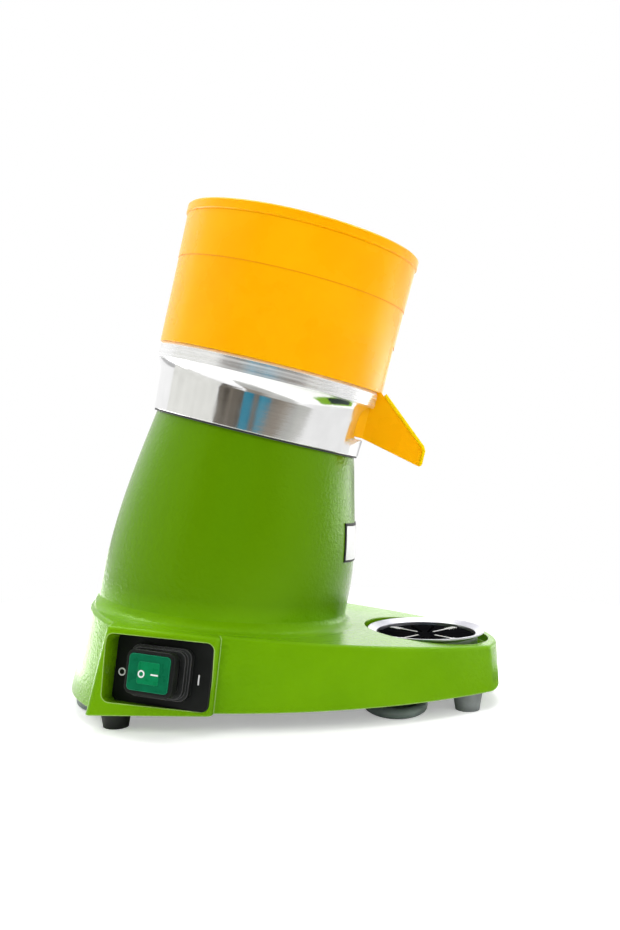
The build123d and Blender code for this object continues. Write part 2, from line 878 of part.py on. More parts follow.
def stator_stack():
    """Laminated stator with holes for the through bolts."""
    shape = ring(stack_radius, rotor_radius + air_gap, stack_low, stack_top)
    hole = Pos(bolt_circle, 0) * drum(bolt_radius + seat_gap, stack_low, stack_top)
    for one in around(hole, motor_bolts):
        shape = shape - one
    return on_axis * shape


def end_windings():
    """Winding heads that stand out of both ends of the stator."""
    upper = ring(winding_outer, winding_inner, stack_top, stack_top + winding_overhang)
    lower = ring(winding_outer, winding_inner, stack_low - winding_overhang, stack_low)
    upper = fillet(upper.edges().group_by(Axis.Z)[-1], winding_round)
    lower = fillet(lower.edges().group_by(Axis.Z)[0], winding_round)
    return group([on_axis * upper, on_axis * lower])


def upper_end_shield():
    """Upper motor shield, whose flange is clamped under the top of the column."""
    inner = shield_radius - shield_skirt
    bearing_low = flange_low - bearing_width
    shape = spun(
        (inner, stack_top),
        (shield_radius, stack_top),
        (shield_radius, flange_low - shield_plate),
        (shield_flange_radius, flange_low - shield_plate),
        (shield_flange_radius, flange_low),
        (inner, flange_low),
        (inner, upper_plate + shield_plate),
        (shield_hub_radius, upper_plate + shield_plate),
        (shield_hub_radius, flange_low),
        (bearing_radius, flange_low),
        (bearing_radius, bearing_low),
        (shaft_hole + loose_gap, bearing_low),
        (shaft_hole + loose_gap, upper_plate),
        (inner, upper_plate),
    )
    screw_hole = Pos(collar_screw_circle, 0) * drum(screw_radius, flange_low - shield_plate, flange_low)
    bolt_hole = Pos(bolt_circle, 0) * drum(bolt_radius, stack_top, upper_plate)
    for one in around(screw_hole, collar_screws, collar_screw_angle) + around(bolt_hole, motor_bolts):
        shape = shape - one
    return on_axis * shape


def lower_end_shield():
    """Lower motor shield with the other bearing seat."""
    inner = shield_radius - shield_skirt
    low = lower_plate - shield_plate
    shape = spun(
        (shaft_hole + loose_gap, low),
        (shield_radius, low),
        (shield_radius, stack_low),
        (inner, stack_low),
        (inner, lower_plate),
        (shield_hub_radius, lower_plate),
        (shield_hub_radius, lower_plate + bearing_width),
        (bearing_radius, lower_plate + bearing_width),
        (bearing_radius, lower_plate),
        (shaft_hole + loose_gap, lower_plate),
    )
    bolt_hole = Pos(bolt_circle, 0) * drum(bolt_radius + seat_gap, low, stack_low)
    for one in around(bolt_hole, motor_bolts):
        shape = shape - one
    return on_axis * shape


def motor_bolt_set():
    """Long bolts that clamp the stator between the two shields."""
    low = lower_plate - shield_plate
    bolt = drum(bolt_head_radius, low - bolt_head_height, low) + drum(bolt_radius, low, upper_plate)
    return group([on_axis * one for one in around(Pos(bolt_circle, 0) * bolt, motor_bolts)])


def run_capacitor():
    """Run capacitor that lies on the bottom plate."""
    can = Cylinder(capacitor_radius, capacitor_length)
    can = fillet(can.edges().filter_by(GeomType.CIRCLE), capacitor_round)
    return Pos(capacitor_x, capacitor_y, sheet_top + capacitor_radius) * Rot(0, 90, 0) * can


def capacitor_clip():
    """Sprung strap over the capacitor, with a tab on each side."""
    outer = capacitor_radius + clip_thickness
    half = clip_width / 2
    arch = Cylinder(outer, clip_width) - Cylinder(capacitor_radius, clip_width)
    arch = Pos(0, 0, sheet_top + capacitor_radius) * Rot(0, 90, 0) * arch
    sides = block(-half, half, -outer, outer, sheet_top, sheet_top + capacitor_radius)
    sides = sides - block(-half, half, -capacitor_radius, capacitor_radius, sheet_top, far)
    tabs = block(-half, half, -outer - clip_tab, outer + clip_tab, sheet_top, sheet_top + clip_thickness)
    tabs = tabs - block(-half, half, -capacitor_radius, capacitor_radius, sheet_top, far)
    arch = arch - below(sheet_top + capacitor_radius)
    return Pos(capacitor_x, capacitor_y) * (arch + sides + tabs)


def terminal_block():
    """Terminal block on the bottom plate, where the cord's wires end."""
    half_x = terminal_length / 2
    half_y = terminal_depth / 2
    top = sheet_top + terminal_height
    shape = block(-half_x, half_x, -half_y, half_y, sheet_top, top)
    pitch = terminal_length / terminal_poles
    for k in range(terminal_poles):
        x = pitch * (k + 0.5) - half_x
        shape = shape - Pos(x, 0) * drum(terminal_screw_radius, top - terminal_screw_depth, top)
        entry = Rot(90, 0, 0) * Cylinder(terminal_wire_radius, terminal_depth)
        shape = shape - Pos(x, 0, sheet_top + terminal_wire_height) * entry
    return Pos(terminal_x, terminal_y) * shape


def switch_plate():
    """Flat plate in the switch box."""
    shape = slab(plate_width, plate_height, plate_corner - seat_gap, -plate_thickness, 0)
    window = slab(switch_neck_width + 2 * seat_gap, switch_body_height, loose_gap, -plate_thickness, 0)
    return on_plate * (shape - window)


def switch_body():
    """Switch housing behind the plate, with two cheeks that carry the rocker's pin."""
    low = -plate_thickness - switch_body_depth
    shape = slab(switch_body_width, switch_body_height, loose_gap, low, -plate_thickness)
    shape = shape + slab(switch_neck_width, neck_height, loose_gap, -plate_thickness, 0)
    top = rocker_pin_height + rocker_pin_radius + loose_gap
    half = switch_cheek_width / 2
    side = neck_height / 2
    cheek = block(-half, half, side - switch_cheek_thickness, side, -plate_thickness, top)
    pin_room = Rot(90, 0, 0) * Cylinder(rocker_pin_radius + running_gap, neck_height)
    pin_room = Pos(0, 0, rocker_pin_height) * pin_room
    return on_plate * (shape + cheek + mirror(cheek, Plane.XZ) - pin_room)


def switch_boot():
    """Stepped seal round the rocker, fixed to the plate."""
    step_top = boot_flange_rise + boot_step_rise
    shape = slab(boot_flange_width, boot_flange_height, boot_corner, 0, boot_flange_rise)
    shape = shape + slab(boot_step_width, boot_step_height, boot_corner, boot_flange_rise, step_top)
    width = boot_step_width - 2 * boot_wall
    height = boot_step_height - 2 * boot_wall
    return on_plate * (shape - slab(width, height, boot_corner / 2, 0, step_top))


def rocker_head():
    """Head of the rocker, which fits in the underside of its cap."""
    high = cap_low + rocker_head_thickness
    return slab(rocker_head_width, rocker_head_height, cap_corner / 2, cap_low, high)


def switch_rocker():
    """Rocker core: its pin, web and the head that the cap is fixed to."""
    pin = Pos(0, 0, rocker_pin_height) * Rot(90, 0, 0) * Cylinder(rocker_pin_radius, neck_height)
    web_half = neck_height / 2 - switch_cheek_thickness - running_gap
    web = block(-rocker_web / 2, rocker_web / 2, -web_half, web_half, rocker_pin_height, cap_low)
    return rocker_rest * (pin + web + rocker_head())


def switch_cap_frame():
    """Black cap frame on the rocker, sunk for the lit window."""
    shape = slab(cap_width, cap_height, cap_corner, cap_low, cap_top)
    shape = fillet(shape.edges().group_by(Axis.Z)[-1], cap_edge_radius)
    seat = cap_top + window_proud - window_thickness
    window_w = cap_width - 2 * window_border
    window_h = cap_height - 2 * window_border
    shape = shape - slab(window_w, window_h, cap_corner - window_border, seat, cap_top)
    return rocker_rest * (shape - rocker_head())


def switch_window():
    """Green window of the switch, slightly proud of its frame."""
    high = cap_top + window_proud
    window_w = cap_width - 2 * (window_border + seat_gap)
    window_h = cap_height - 2 * (window_border + seat_gap)
    return rocker_rest * slab(window_w, window_h, cap_corner - window_border, high - window_thickness, high)


def drip_dish():
    """Steel drip dish in the base's pocket, with a flared lip."""
    lip = dish_floor_z + dish_height
    flare = dish_floor_z + dish_flare_height
    return at_dish * spun(
        (0, dish_floor_z),
        (dish_radius, dish_floor_z),
        (dish_radius, flare),
        (dish_lip_radius, lip - dish_wall),
        (dish_lip_radius, lip),
        (dish_lip_radius - dish_wall, lip),
        (dish_radius - dish_wall, flare + dish_wall),
        (dish_radius - dish_wall, dish_floor_top),
        (0, dish_floor_top),
    )


def drip_grid():
    """Grid in the dish, with drain slots, four ribs that end in rows of short teeth, and legs."""
    low = grid_top - grid_thickness
    slot_reach = grid_radius - grid_rim
    shape = drum(grid_radius, low, grid_top)
    middle = (grid_hub_radius + slot_reach) / 2
    opening = Pos(middle, 0) * SlotOverall(slot_reach - grid_hub_radius, grid_slot_width)
    openings = Sketch() + around(opening, grid_slots, 180.0 / grid_slots)
    shape = shape - extrude(Pos(0, 0, low) * openings, grid_thickness)
    root = grid_top - grid_ridge
    crest = grid_top + grid_ridge
    half = grid_ridge_width / 2
    rib = block(grid_hub_radius, grid_rib_reach, -half, half, root, crest)
    shape = shape + around(rib, grid_ribs, grid_rib_angle)
    for k in range(grid_teeth):
        start = grid_rib_reach + k * grid_tooth_pitch
        reach = grid_tooth_length / 2
        tooth = block(start, start + grid_tooth_pitch / 2, -reach, reach, root, crest)
        shape = shape + around(tooth, grid_ribs, grid_rib_angle)
    leg = Pos(grid_rib_reach, 0) * drum(grid_leg_radius, dish_floor_top, grid_top)
    return at_dish * (shape + around(leg, grid_legs))


def gland_direction():
    """Direction in which the cord leaves its gland."""
    return Vector(-cos(radians(gland_dip)), 0, -sin(radians(gland_dip)))


def gland_tip():
    """Point where the cord leaves its gland."""
    start = Vector(gland_x, gland_y, sheet_z - gland_radius)
    return start + gland_direction() * (gland_radius + gland_length)


def gland_landing():
    """Point where the cord, straight out of its gland, comes down to the floor."""
    return gland_tip() + gland_direction() * ((gland_tip().Z - cord_radius) / sin(radians(gland_dip)))


def cord_gland():
    """Strain relief in the bottom plate, with a tapered sleeve on the cord."""
    body = Pos(gland_x, gland_y) * drum(gland_radius, gland_low, sheet_top)
    cap = Pos(gland_x, gland_y) * drum(gland_radius + gland_cap, sheet_top, sheet_top + gland_cap)
    start = Plane(origin=(gland_x, gland_y, sheet_z - gland_radius), z_dir=gland_direction())
    sleeve = start * spun(
        (0, 0),
        (gland_radius - loose_gap, 0),
        (gland_radius - loose_gap, gland_radius),
        (gland_tip_radius, gland_radius + gland_length),
        (0, gland_radius + gland_length),
    )
    return body + cap + sleeve


def cord_tube(path):
    """Round cord along a path of lines and arcs, with its volume set against section times length."""
    profile = Plane(origin=path @ 0, z_dir=path % 0) * Circle(cord_radius)
    tube = sweep(profile, path=path)
    ratio = tube.volume / (pi * cord_radius**2 * path.length)
    print("cord", "length", round(path.length, 1), "volume ratio", round(ratio, 4))
    return tube


def rounded_route(points):
    """Straight runs between the points, joined by the widest arcs that the runs allow."""
    places = [Vector(*point) for point in points]
    radii = []
    for before, here, after in zip(places, places[1:], places[2:]):
        turn = (here - before).get_angle(after - here)
        shorter = min((here - before).length, (after - here).length)
        radii.append(0.45 * shorter / tan(radians(turn / 2)))
    print("cord radii", [round(radius, 1) for radius in radii])
    return FilletPolyline(*places, radius=radii)


def hank_place(u, v, z):
    """Point of the hank, across and along its runs."""
    return Vector(hank_x + u, v, z)


def hank_path():
    """Two layers of folded loops: in towards the middle on the floor, then out again on top."""
    inner = hank_inner_radius
    middle = hank_middle_radius
    outer = hank_outer_radius
    shift = outer - middle
    low = cord_radius
    high = cord_radius + hank_step
    near = hank_near
    away = hank_far
    half = hank_place(inner, (near + away) / 2, (low + high) / 2)
    at = hank_place
    climb = TangentArc(at(inner, near, low), half, tangent=(0, 1, 0))
    settle = TangentArc(half, at(inner, away, high), tangent=climb % 1)
    edges = [
        Line(at(-outer, hank_start, low), at(-outer, near, low)),
        ThreePointArc(at(-outer, near, low), at(0, near - outer, low), at(outer, near, low)),
        Line(at(outer, near, low), at(outer, away, low)),
        ThreePointArc(at(outer, away, low), at(shift, away + middle, low), at(-inner, away, low)),
        Line(at(-inner, away, low), at(-inner, near, low)),
        ThreePointArc(at(-inner, near, low), at(0, near - inner, low), at(inner, near, low)),
        climb,
        settle,
        ThreePointArc(at(inner, away, high), at(0, away + inner, high), at(-inner, away, high)),
        Line(at(-inner, away, high), at(-inner, near, high)),
        ThreePointArc(at(-inner, near, high), at(shift, near - middle, high), at(outer, near, high)),
        Line(at(outer, near, high), at(outer, hank_end, high)),
    ]
    return Wire(edges)


def least_gap(path, samples):
    """Least gap between stretches of one cord that lie apart along its length."""
    points = [path @ (k / (samples - 1)) for k in range(samples)]
    skip = int(3 * cord_diameter / path.length * samples) + 1
    pairs = [(i, j) for i in range(samples) for j in range(i + skip, samples)]
    return min((points[i] - points[j]).length for i, j in pairs) - cord_diameter


def plug_body():
    """Moulded plug with a tapered boot, lying on the floor."""
    back = plug_boot_length
    face = plug_boot_length + plug_length
    shape = spun(
        (0, 0),
        (plug_boot_radius, 0),
        (plug_boot_radius + plug_boot_flare, back),
        (plug_neck_radius, back + plug_neck_length),
        (plug_radius, back + plug_shoulder_length),
        (plug_radius, face - plug_edge),
        (plug_radius - plug_edge, face),
        (0, face),
    )
    return Plane(origin=(plug_x, plug_y, plug_radius), z_dir=(-1, 0, 0)) * shape


def plug_pins():
    """Two round pins of the plug."""
    low = plug_boot_length + plug_length
    pin = drum(plug_pin_radius, low, low + plug_pin_length)
    pin = chamfer(pin.edges().sort_by(Axis.Z)[-1], plug_pin_chamfer)
    start = Plane(origin=(plug_x, plug_y, plug_radius), x_dir=(0, 1, 0), z_dir=(-1, 0, 0))
    return group([start * (Pos(side * plug_pin_spread, 0) * pin) for side in (-1, 1)])


keep("body_casting", body_casting())
keep("bottom_plate", bottom_plate())
for foot_name, foot_place in foot_places.items():
    keep(foot_name, foot(*foot_place))
keep("foot_screws", group([foot_screw(*place) for place in foot_places.values()]))
keep("plate_screws", group([sheet_screw(*place) for place in sheet_screw_places]))
keep("bowl_collar", bowl_collar())
keep("collar_screws", collar_screw_set())
keep("bowl", bowl())
keep("strainer", strainer())
keep("squeezer", squeezer())
keep("motor_shaft", motor_shaft())
keep("drive_pin", drive_pin())
keep("rotor", on_axis * ring(rotor_radius, shaft_radius, stack_low, stack_top))
keep("cooling_fan", cooling_fan())
keep("stator_stack", stator_stack())
keep("end_windings", end_windings())
keep("upper_end_shield", upper_end_shield())
keep("lower_end_shield", lower_end_shield())
keep("upper_bearing", on_axis * ring(bearing_radius, shaft_hole, flange_low - bearing_width, flange_low))
keep("lower_bearing", on_axis * ring(bearing_radius, shaft_hole, lower_plate, lower_plate + bearing_width))
seal_high = collar_low + collar_floor + collar_hub_height
keep("shaft_seal", on_axis * ring(seal_radius, shaft_hole, collar_low, seal_high))
keep("motor_bolts", motor_bolt_set())
keep("run_capacitor", run_capacitor())
keep("capacitor_clip", capacitor_clip())
keep("terminal_block", terminal_block())
keep("switch_plate", switch_plate())
keep("switch_body", switch_body())
keep("switch_boot", switch_boot())
keep("switch_rocker", switch_rocker())
keep("switch_cap_frame", switch_cap_frame())
keep("switch_window", switch_window())
keep("drip_dish", drip_dish())
keep("drip_grid", drip_grid())
keep("cord_gland", cord_gland())

# The lead ends where the hank's first run starts, and the tail starts where its last run ends
lead_end = hank_place(-hank_outer_radius, hank_start, cord_radius)
tail_start = hank_place(hank_outer_radius, hank_end, cord_radius + hank_step)
hank = hank_path()
print("hank least gap", round(least_gap(hank, 700), 2))
keep("cord_lead", cord_tube(rounded_route([gland_tip(), gland_landing(), *lead_points, lead_end])))
keep("cord_hank", cord_tube(hank))
keep("cord_tail", cord_tube(rounded_route([tail_start, *tail_points, (plug_x, plug_y, plug_radius)])))
keep("plug_body", plug_body())
keep("plug_pins", plug_pins())

for name, part in nodes.items():
    export_step(part, f"parts/{name}.step")
    print(name, len(part.solids()), round(part.volume), [round(v, 1) for v in part.bounding_box().size])
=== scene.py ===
from math import cos, pi, radians, sin, sqrt, tan

import bpy
from mathutils import Matrix, Vector


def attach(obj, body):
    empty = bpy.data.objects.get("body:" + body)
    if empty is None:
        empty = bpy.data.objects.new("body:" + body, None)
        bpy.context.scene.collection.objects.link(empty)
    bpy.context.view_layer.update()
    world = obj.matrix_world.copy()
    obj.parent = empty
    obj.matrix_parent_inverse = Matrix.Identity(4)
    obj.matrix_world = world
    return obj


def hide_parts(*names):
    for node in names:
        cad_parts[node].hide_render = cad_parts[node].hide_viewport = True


# Looks of a commercial citrus juicer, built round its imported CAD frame.
# Frame: metres, +X to the front, -Y the side with the switch, +Z up, origin on the floor.
# Named lengths are in millimetres and angles in degrees, unless a comment says metres.

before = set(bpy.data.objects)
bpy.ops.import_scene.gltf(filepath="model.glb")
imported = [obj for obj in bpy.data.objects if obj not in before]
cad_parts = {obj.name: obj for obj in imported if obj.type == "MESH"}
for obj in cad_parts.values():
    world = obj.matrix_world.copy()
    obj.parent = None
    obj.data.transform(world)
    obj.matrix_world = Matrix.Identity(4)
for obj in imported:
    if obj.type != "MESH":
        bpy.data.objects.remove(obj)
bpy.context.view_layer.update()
mm = 0.001

# Camera, at the photograph's viewing angle
camera_place = (42.9, -687.6, 181.5)
camera_azimuth = -2.0
camera_dip = 1.67
camera_lens = 38.1
camera_sensor = 36.0
camera_near = 10.0

# Motor axis and column, as in the CAD source
axis_foot = (-63.5, 0.0, 0.0)
axis_tilt = 13.7
column_top = 190.0
column_top_radius = 70.0
column_rear_side = (80.8, 8.5, 550.0)
column_front_side = (90.3, 14.6, 260.0)

# Slope of the deck, as in the CAD source, and heights off that slope between which the paint turns
# darker: a painted shade on the column
deck_slope = 5.7
painted_shade_from = 61.0
painted_shade_to = 74.0

# Crest of the drip grid, as in the CAD source, and depths between which the painted highlight on it
# fades in
grid_crest = 43.9
glint_from_depth = 0.4
glint_to_depth = 0.25

# Switch plate and rocker, as in the CAD source
plate_place = (-68.5, -91.5, 36.9186)
plate_turn = 14.0
plate_lean = 10.0
plate_slope = 3.2
rocker_pin_height = 5.5
rocker_rest_tilt = 5.0
window_top = 18.0

# Points in the rounded corners and circles of flat outlines
corner_steps = 6
ring_sides = 40

# Printed marks and the lit lens of the switch, in millimetres on their own faces
mark_rise = 0.12
mark_line = 0.9
plate_ring_place = (-27.0, -2.9)
plate_ring_radius = 2.5
plate_bar_place = (24.3, -1.8)
plate_bar_length = 6.2
lens_width = 14.6
lens_height = 13.2
lens_corner = 1.2
lens_rise = 0.35
lens_ring_place = (-4.6, -0.8)
lens_ring_radius = 2.3
lens_bar_place = (4.4, -0.5)
lens_bar_length = 5.0

# Bare plate on the front of the column, along the axis and round it
badge_low = 119.6
badge_high = 145.2
badge_half_angle = 24.4
badge_border = 1.6
badge_thickness = 0.7
badge_field_thickness = 0.2
badge_columns = 24
badge_rows = 8

# Brushed band at the top of the collar, with its lines and their depth in metres
band_low = 223.5
band_fade = 1.0
band_line = 0.0016
band_line_depth = 0.0001
band_roughness = 0.22
band_metal = (0.45, 1.0)

# Rings about the motor axis
ring_segments = 160
sharp_angle = 25.0

# Gasket under the collar, whose black also stands in for the shade in the gap there; parting line of
# the bowl, painted darker as its shade; upper sleeve of the bowl; and bead round the spout, painted
# brighter as a highlight; in the axis frame
gasket_inner = 69.5
gasket_outer = 72.1
gasket_low = 188.7
gasket_high = 190.0
line_radius = 80.1
line_height = 293.2
line_half_width = 0.5
line_relief = 0.12
sleeve_top = 322.8
sleeve_low_radius = 80.25
sleeve_top_radius = 80.85
sleeve_depth = 1.0
sleeve_chamfer = 0.3
bead_radius = 1.2
bead_rounding = 4
bead_lift = 0.9
bead_root = (79.8, 17.5, 234.4)
bead_shoulder = (112.8, 15.1, 206.4)
bead_tip_top = (114.4, 15.0, 203.6)
bead_tip_low = (114.4, 14.6, 195.0)
bead_floor = (114.2, 12.5, 193.9)

# Supply cord: its lead and tail run as in the CAD source
cord_diameter = 7.0
cord_rounding = 6
cord_steps = 10
gland_tip = (-92.81, -52.0, 4.951)
lead_points = [
    (-99.64, -52.0, 3.5),
    (-120.3, -52.4, 3.5),
    (-134.9, -37.6, 3.5),
    (-134.9, -17.0, 3.5),
    (-120.3, -2.4, 3.5),
    (-82.0, 4.0, 3.5),
    (-34.0, 18.0, 3.5),
    (4.0, 39.0, 3.5),
    (27.0, 49.5, 3.5),
    (46.0, 46.5, 3.5),
    (58.0, 31.0, 3.5),
]
tail_points = [
    (96.0, 0.0, 11.0),
    (100.5, 16.0, 11.0),
    (106.0, 32.0, 8.5),
    (107.0, 51.0, 3.8),
    (104.0, 74.0, 3.5),
    (95.0, 97.0, 3.5),
    (76.0, 112.0, 4.5),
    (58.0, 117.5, 9.5),
    (40.0, 118.5, 15.0),
    (24.0, 118.5, 15.0),
]

# Folds of the hank: how far across its middle each is centred, its half width and length,
# its place along the hank and its height. On the camera's side they are oval and end one
# behind the other.
hank_x = 77.0
hank_low = 3.5
hank_high = 11.0
fold_points = 6
hank_folds = [
    (0.0, 19.0, 30.0, -29.0, hank_low),
    (3.75, 15.25, 15.25, 40.0, hank_low),
    (0.0, 11.5, 14.0, -32.0, hank_low),
    (0.0, 11.5, 11.5, 40.0, hank_high),
    (3.75, 15.25, 19.0, -30.0, hank_high),
]

# Tie round the middle of the hank
tie_half_width = 23.4
tie_height = 15.4
tie_corner = 6.0
tie_band = 5.0
tie_thickness = 0.8

# Worn edges, which on some finishes are a painted highlight: samples of the soft normal, and how well
# it agrees with the flat one on an edge and off it
edge_samples = 6
edge_facing = (0.90, 0.995)

# Light levels, at which colours render about as they are written
world_level = 0.45
white_level = 1.0

# White floor, in metres: its size, grain and tones, its lift to the camera, and how far out
# it fades into the backdrop
floor_width = 12.0
floor_grain = 0.05
floor_tones = ((0.89, 0.89, 0.89, 1.0), (0.91, 0.91, 0.91, 1.0))
floor_lift = 0.34
floor_white_from = 0.20
floor_white_to = 0.50


def scaled(point):
    """A point in millimetres as a vector in metres."""
    return Vector(point) * mm


def axis_matrix():
    """Frame of the leaning motor axis, with its origin on the floor."""
    return Matrix.Translation(scaled(axis_foot)) @ Matrix.Rotation(radians(axis_tilt), 4, "Y")


def plate_matrix():
    """Frame of the switch plate, with +Z out of its face."""
    turn = radians(plate_turn)
    lean = radians(plate_lean)
    out = Vector((-sin(turn) * cos(lean), -cos(turn) * cos(lean), sin(lean)))
    along = Vector((cos(turn), -sin(turn), 0.0))
    basis = Matrix((along, out.cross(along), out)).transposed().to_4x4()
    slope = Matrix.Rotation(-radians(plate_slope), 4, "Z")
    return Matrix.Translation(scaled(plate_place)) @ basis @ slope


def rocker_matrix():
    """Frame of the rocker's cap at rest."""
    pin = Matrix.Translation((0.0, 0.0, rocker_pin_height * mm))
    tilt = Matrix.Rotation(-radians(rocker_rest_tilt), 4, "Y")
    return plate_matrix() @ pin @ tilt @ pin.inverted()


def link(piece):
    """Put a new object into the scene."""
    bpy.context.scene.collection.objects.link(piece)
    return piece


def make_camera():
    """Camera at the photograph's place and angle."""
    data = bpy.data.cameras.new("camera")
    data.sensor_width = camera_sensor
    data.lens = camera_lens
    data.clip_start = camera_near * mm
    camera = link(bpy.data.objects.new("camera", data))
    turn = radians(camera_azimuth)
    dip = radians(camera_dip)
    look = Vector((sin(turn) * cos(dip), cos(turn) * cos(dip), -sin(dip)))
    camera.location = scaled(camera_place)
    camera.rotation_euler = look.to_track_quat("-Z", "Y").to_euler()
    bpy.context.scene.camera = camera


def put(tree, kind, values=None, **settings):
    """Add a shader node with its settings, and set or link its sockets by name or number."""
    made = tree.nodes.new("ShaderNode" + kind)
    for name, value in settings.items():
        setattr(made, name, value)
    for name, value in (values or {}).items():
        if isinstance(value, bpy.types.NodeSocket):
            tree.links.new(value, made.inputs[name])
        else:
            made.inputs[name].default_value = value
    return made


def colour_between(tree, factor, first, second):
    """Colour that goes from the first to the second with a factor."""
    made = put(tree, "Mix", {0: factor, 6: first, 7: second}, data_type="RGBA")
    return made.outputs[2]


def range_of(tree, value, low, high, from_low=0.3, from_high=0.7):
    """Value moved into another range, out of the middle range of a noise unless another is given."""
    values = {"Value": value, "To Min": low, "To Max": high}
    span = {"From Min": from_low, "From Max": from_high}
    return put(tree, "MapRange", {**values, **span}).outputs["Result"]


def place_on(tree, turned):
    """Coordinates that stay with a part, along the motor axis for a turned part."""
    place = put(tree, "TexCoord").outputs["Object"]
    if not turned:
        return place
    back = Matrix.Rotation(-radians(axis_tilt), 4, "Y")
    shift = -(back @ scaled(axis_foot))
    values = {"Vector": place, "Location": shift, "Rotation": (0.0, -radians(axis_tilt), 0.0)}
    return put(tree, "Mapping", values).outputs["Vector"]


def noise(tree, place, size, detail=2.0, stretch=(1.0, 1.0, 1.0)):
    """Noise with features of about a size in metres, longer where the stretch is large."""
    scale = tuple(1.0 / (size * part) for part in stretch)
    moved = put(tree, "Mapping", {"Vector": place, "Scale": scale}).outputs["Vector"]
    values = {"Vector": moved, "Scale": 1.0, "Detail": detail}
    return put(tree, "TexNoise", values).outputs["Fac"]


def new_material(name, sockets):
    """Node material with its shader's plain sockets set."""
    material = bpy.data.materials.new(name)
    material.use_nodes = True
    shader = material.node_tree.nodes["Principled BSDF"]
    for socket, value in sockets.items():
        shader.inputs[socket].default_value = value
    return material, material.node_tree, shader


def edge_mask(tree, radius):
    """Soft normal round sharp edges, and a mask that is 1 on them."""
    soft = put(tree, "Bevel", {"Radius": radius}, samples=edge_samples).outputs["Normal"]
    flat = put(tree, "NewGeometry").outputs["Normal"]
    facing = put(tree, "VectorMath", {0: soft, 1: flat}, operation="DOT_PRODUCT").outputs["Value"]
    return soft, range_of(tree, facing, 1.0, 0.0, *edge_facing)


def height_mask(tree, place, way, low, high):
    """Mask that goes from 0 to 1 between two heights along a direction."""
    height = put(tree, "VectorMath", {0: place, 1: way}, operation="DOT_PRODUCT").outputs["Value"]
    return range_of(tree, height, 0.0, 1.0, low, high)


def toned(tree, place, colour, way, low, high, shade):
    """Colour that turns into another shade between two heights."""
    mask = height_mask(tree, place, way, low, high)
    return colour_between(tree, mask, colour, (*shade, 1.0))


def surface(name, shades, patch, shine, grains, edge, turned=False, tone=None, **sockets):
    """Node material: two shades in patches, a shine that varies, layers of grain, and edges that are
    worn or carry a painted highlight.

    shades holds a dark, a light and an edge colour; patch is the size of the patches; shine is the
    range of roughness; grains holds a size, a depth and a stretch for each layer; edge is the radius
    of a soft edge; tone holds a direction, two heights along it and the shade that the colour turns
    into between them. Sizes are in metres.
    """
    plain = {socket.replace("_", " "): value for socket, value in sockets.items()}
    material, tree, shader = new_material(name, plain)
    place = place_on(tree, turned)
    soft, mask = edge_mask(tree, edge)
    patches = noise(tree, place, patch, detail=4.0)
    dark, light, wear_and_highlight = [(*shade, 1.0) for shade in shades]
    colour = colour_between(tree, range_of(tree, patches, 0.0, 1.0), dark, light)
    colour = colour_between(tree, mask, colour, wear_and_highlight)
    if tone:
        colour = toned(tree, place, colour, *tone)
    normal = soft
    for size, depth, stretch in grains:
        height = noise(tree, place, size, stretch=stretch)
        values = {"Height": height, "Distance": depth, "Strength": 1.0, "Normal": normal}
        normal = put(tree, "Bump", values).outputs["Normal"]
    tree.links.new(colour, shader.inputs["Base Color"])
    tree.links.new(range_of(tree, patches, *shine), shader.inputs["Roughness"])
    tree.links.new(normal, shader.inputs["Normal"])
    return material


even = (1.0, 1.0, 1.0)
drawn = (12.0, 1.0, 1.0)
round_axis = (60.0, 60.0, 1.0)
straight_up = (0.0, 0.0, 1.0)
off_deck = (sin(radians(deck_slope)), 0.0, cos(radians(deck_slope)))


def green_paint():
    """Stove enamel on a casting: orange peel, faint patches, a painted highlight on edges and painted
    shade on the column.
    """
    return surface(
        "green_paint",
        # Painted highlight: the third shade lightens the paint along its edges
        shades=((0.135, 0.335, 0.0), (0.165, 0.385, 0.0), (0.50, 0.72, 0.22)),
        patch=0.05,
        shine=(0.18, 0.26),
        grains=[(0.0024, 0.0003, even), (0.0008, 0.00008, even)],
        edge=0.0012,
        # Painted shade: the paint turns darker above the deck, on the column
        tone=(off_deck, painted_shade_from * mm, painted_shade_to * mm, (0.103, 0.248, 0.0)),
        Specular_Tint=(0.5, 1.0, 0.1, 1.0),
    )


plastic_skin = {"Specular_Tint": (1.0, 0.6, 0.1, 1.0), "Specular_IOR_Level": 0.35}
plastic_body = {
    "Subsurface_Weight": 0.25,
    "Subsurface_Radius": (1.0, 0.5, 0.08),
    "Subsurface_Scale": 0.004,
    **plastic_skin,
}
bowl_look = {
    "shades": ((1.0, 0.43, 0.0), (1.0, 0.47, 0.001), (1.0, 0.52, 0.003)),
    "patch": 0.03,
    "shine": (0.24, 0.32),
    "grains": [(0.004, 0.00002, even), (0.0006, 0.000006, even)],
    "edge": 0.0006,
}


def yellow_plastic():
    """Glossy moulded plastic that lets a little light through."""
    return surface("yellow_plastic", **bowl_look, **plastic_body)


def sleeve_plastic():
    """The same plastic in the sleeve, whose back lies on the bowl's wall."""
    return surface("sleeve_plastic", **bowl_look, **plastic_skin)


def highlight_plastic():
    """The same plastic in a thin bead, painted brighter as a highlight along the spout's edges."""
    return surface(
        "highlight_plastic",
        shades=((1.0, 0.68, 0.0), (1.0, 0.74, 0.004), (1.0, 0.80, 0.02)),
        patch=0.02,
        shine=(0.24, 0.32),
        grains=[(0.003, 0.00002, even)],
        edge=0.0004,
        **plastic_skin,
    )


def shade_line_plastic():
    """The same plastic, painted darker as the shade in its parting line."""
    return surface(
        "shade_line_plastic",
        shades=((0.84, 0.26, 0.0), (0.90, 0.30, 0.0), (0.94, 0.34, 0.0)),
        patch=0.02,
        shine=(0.35, 0.45),
        grains=[(0.003, 0.00002, even)],
        edge=0.0002,
        **plastic_skin,
    )


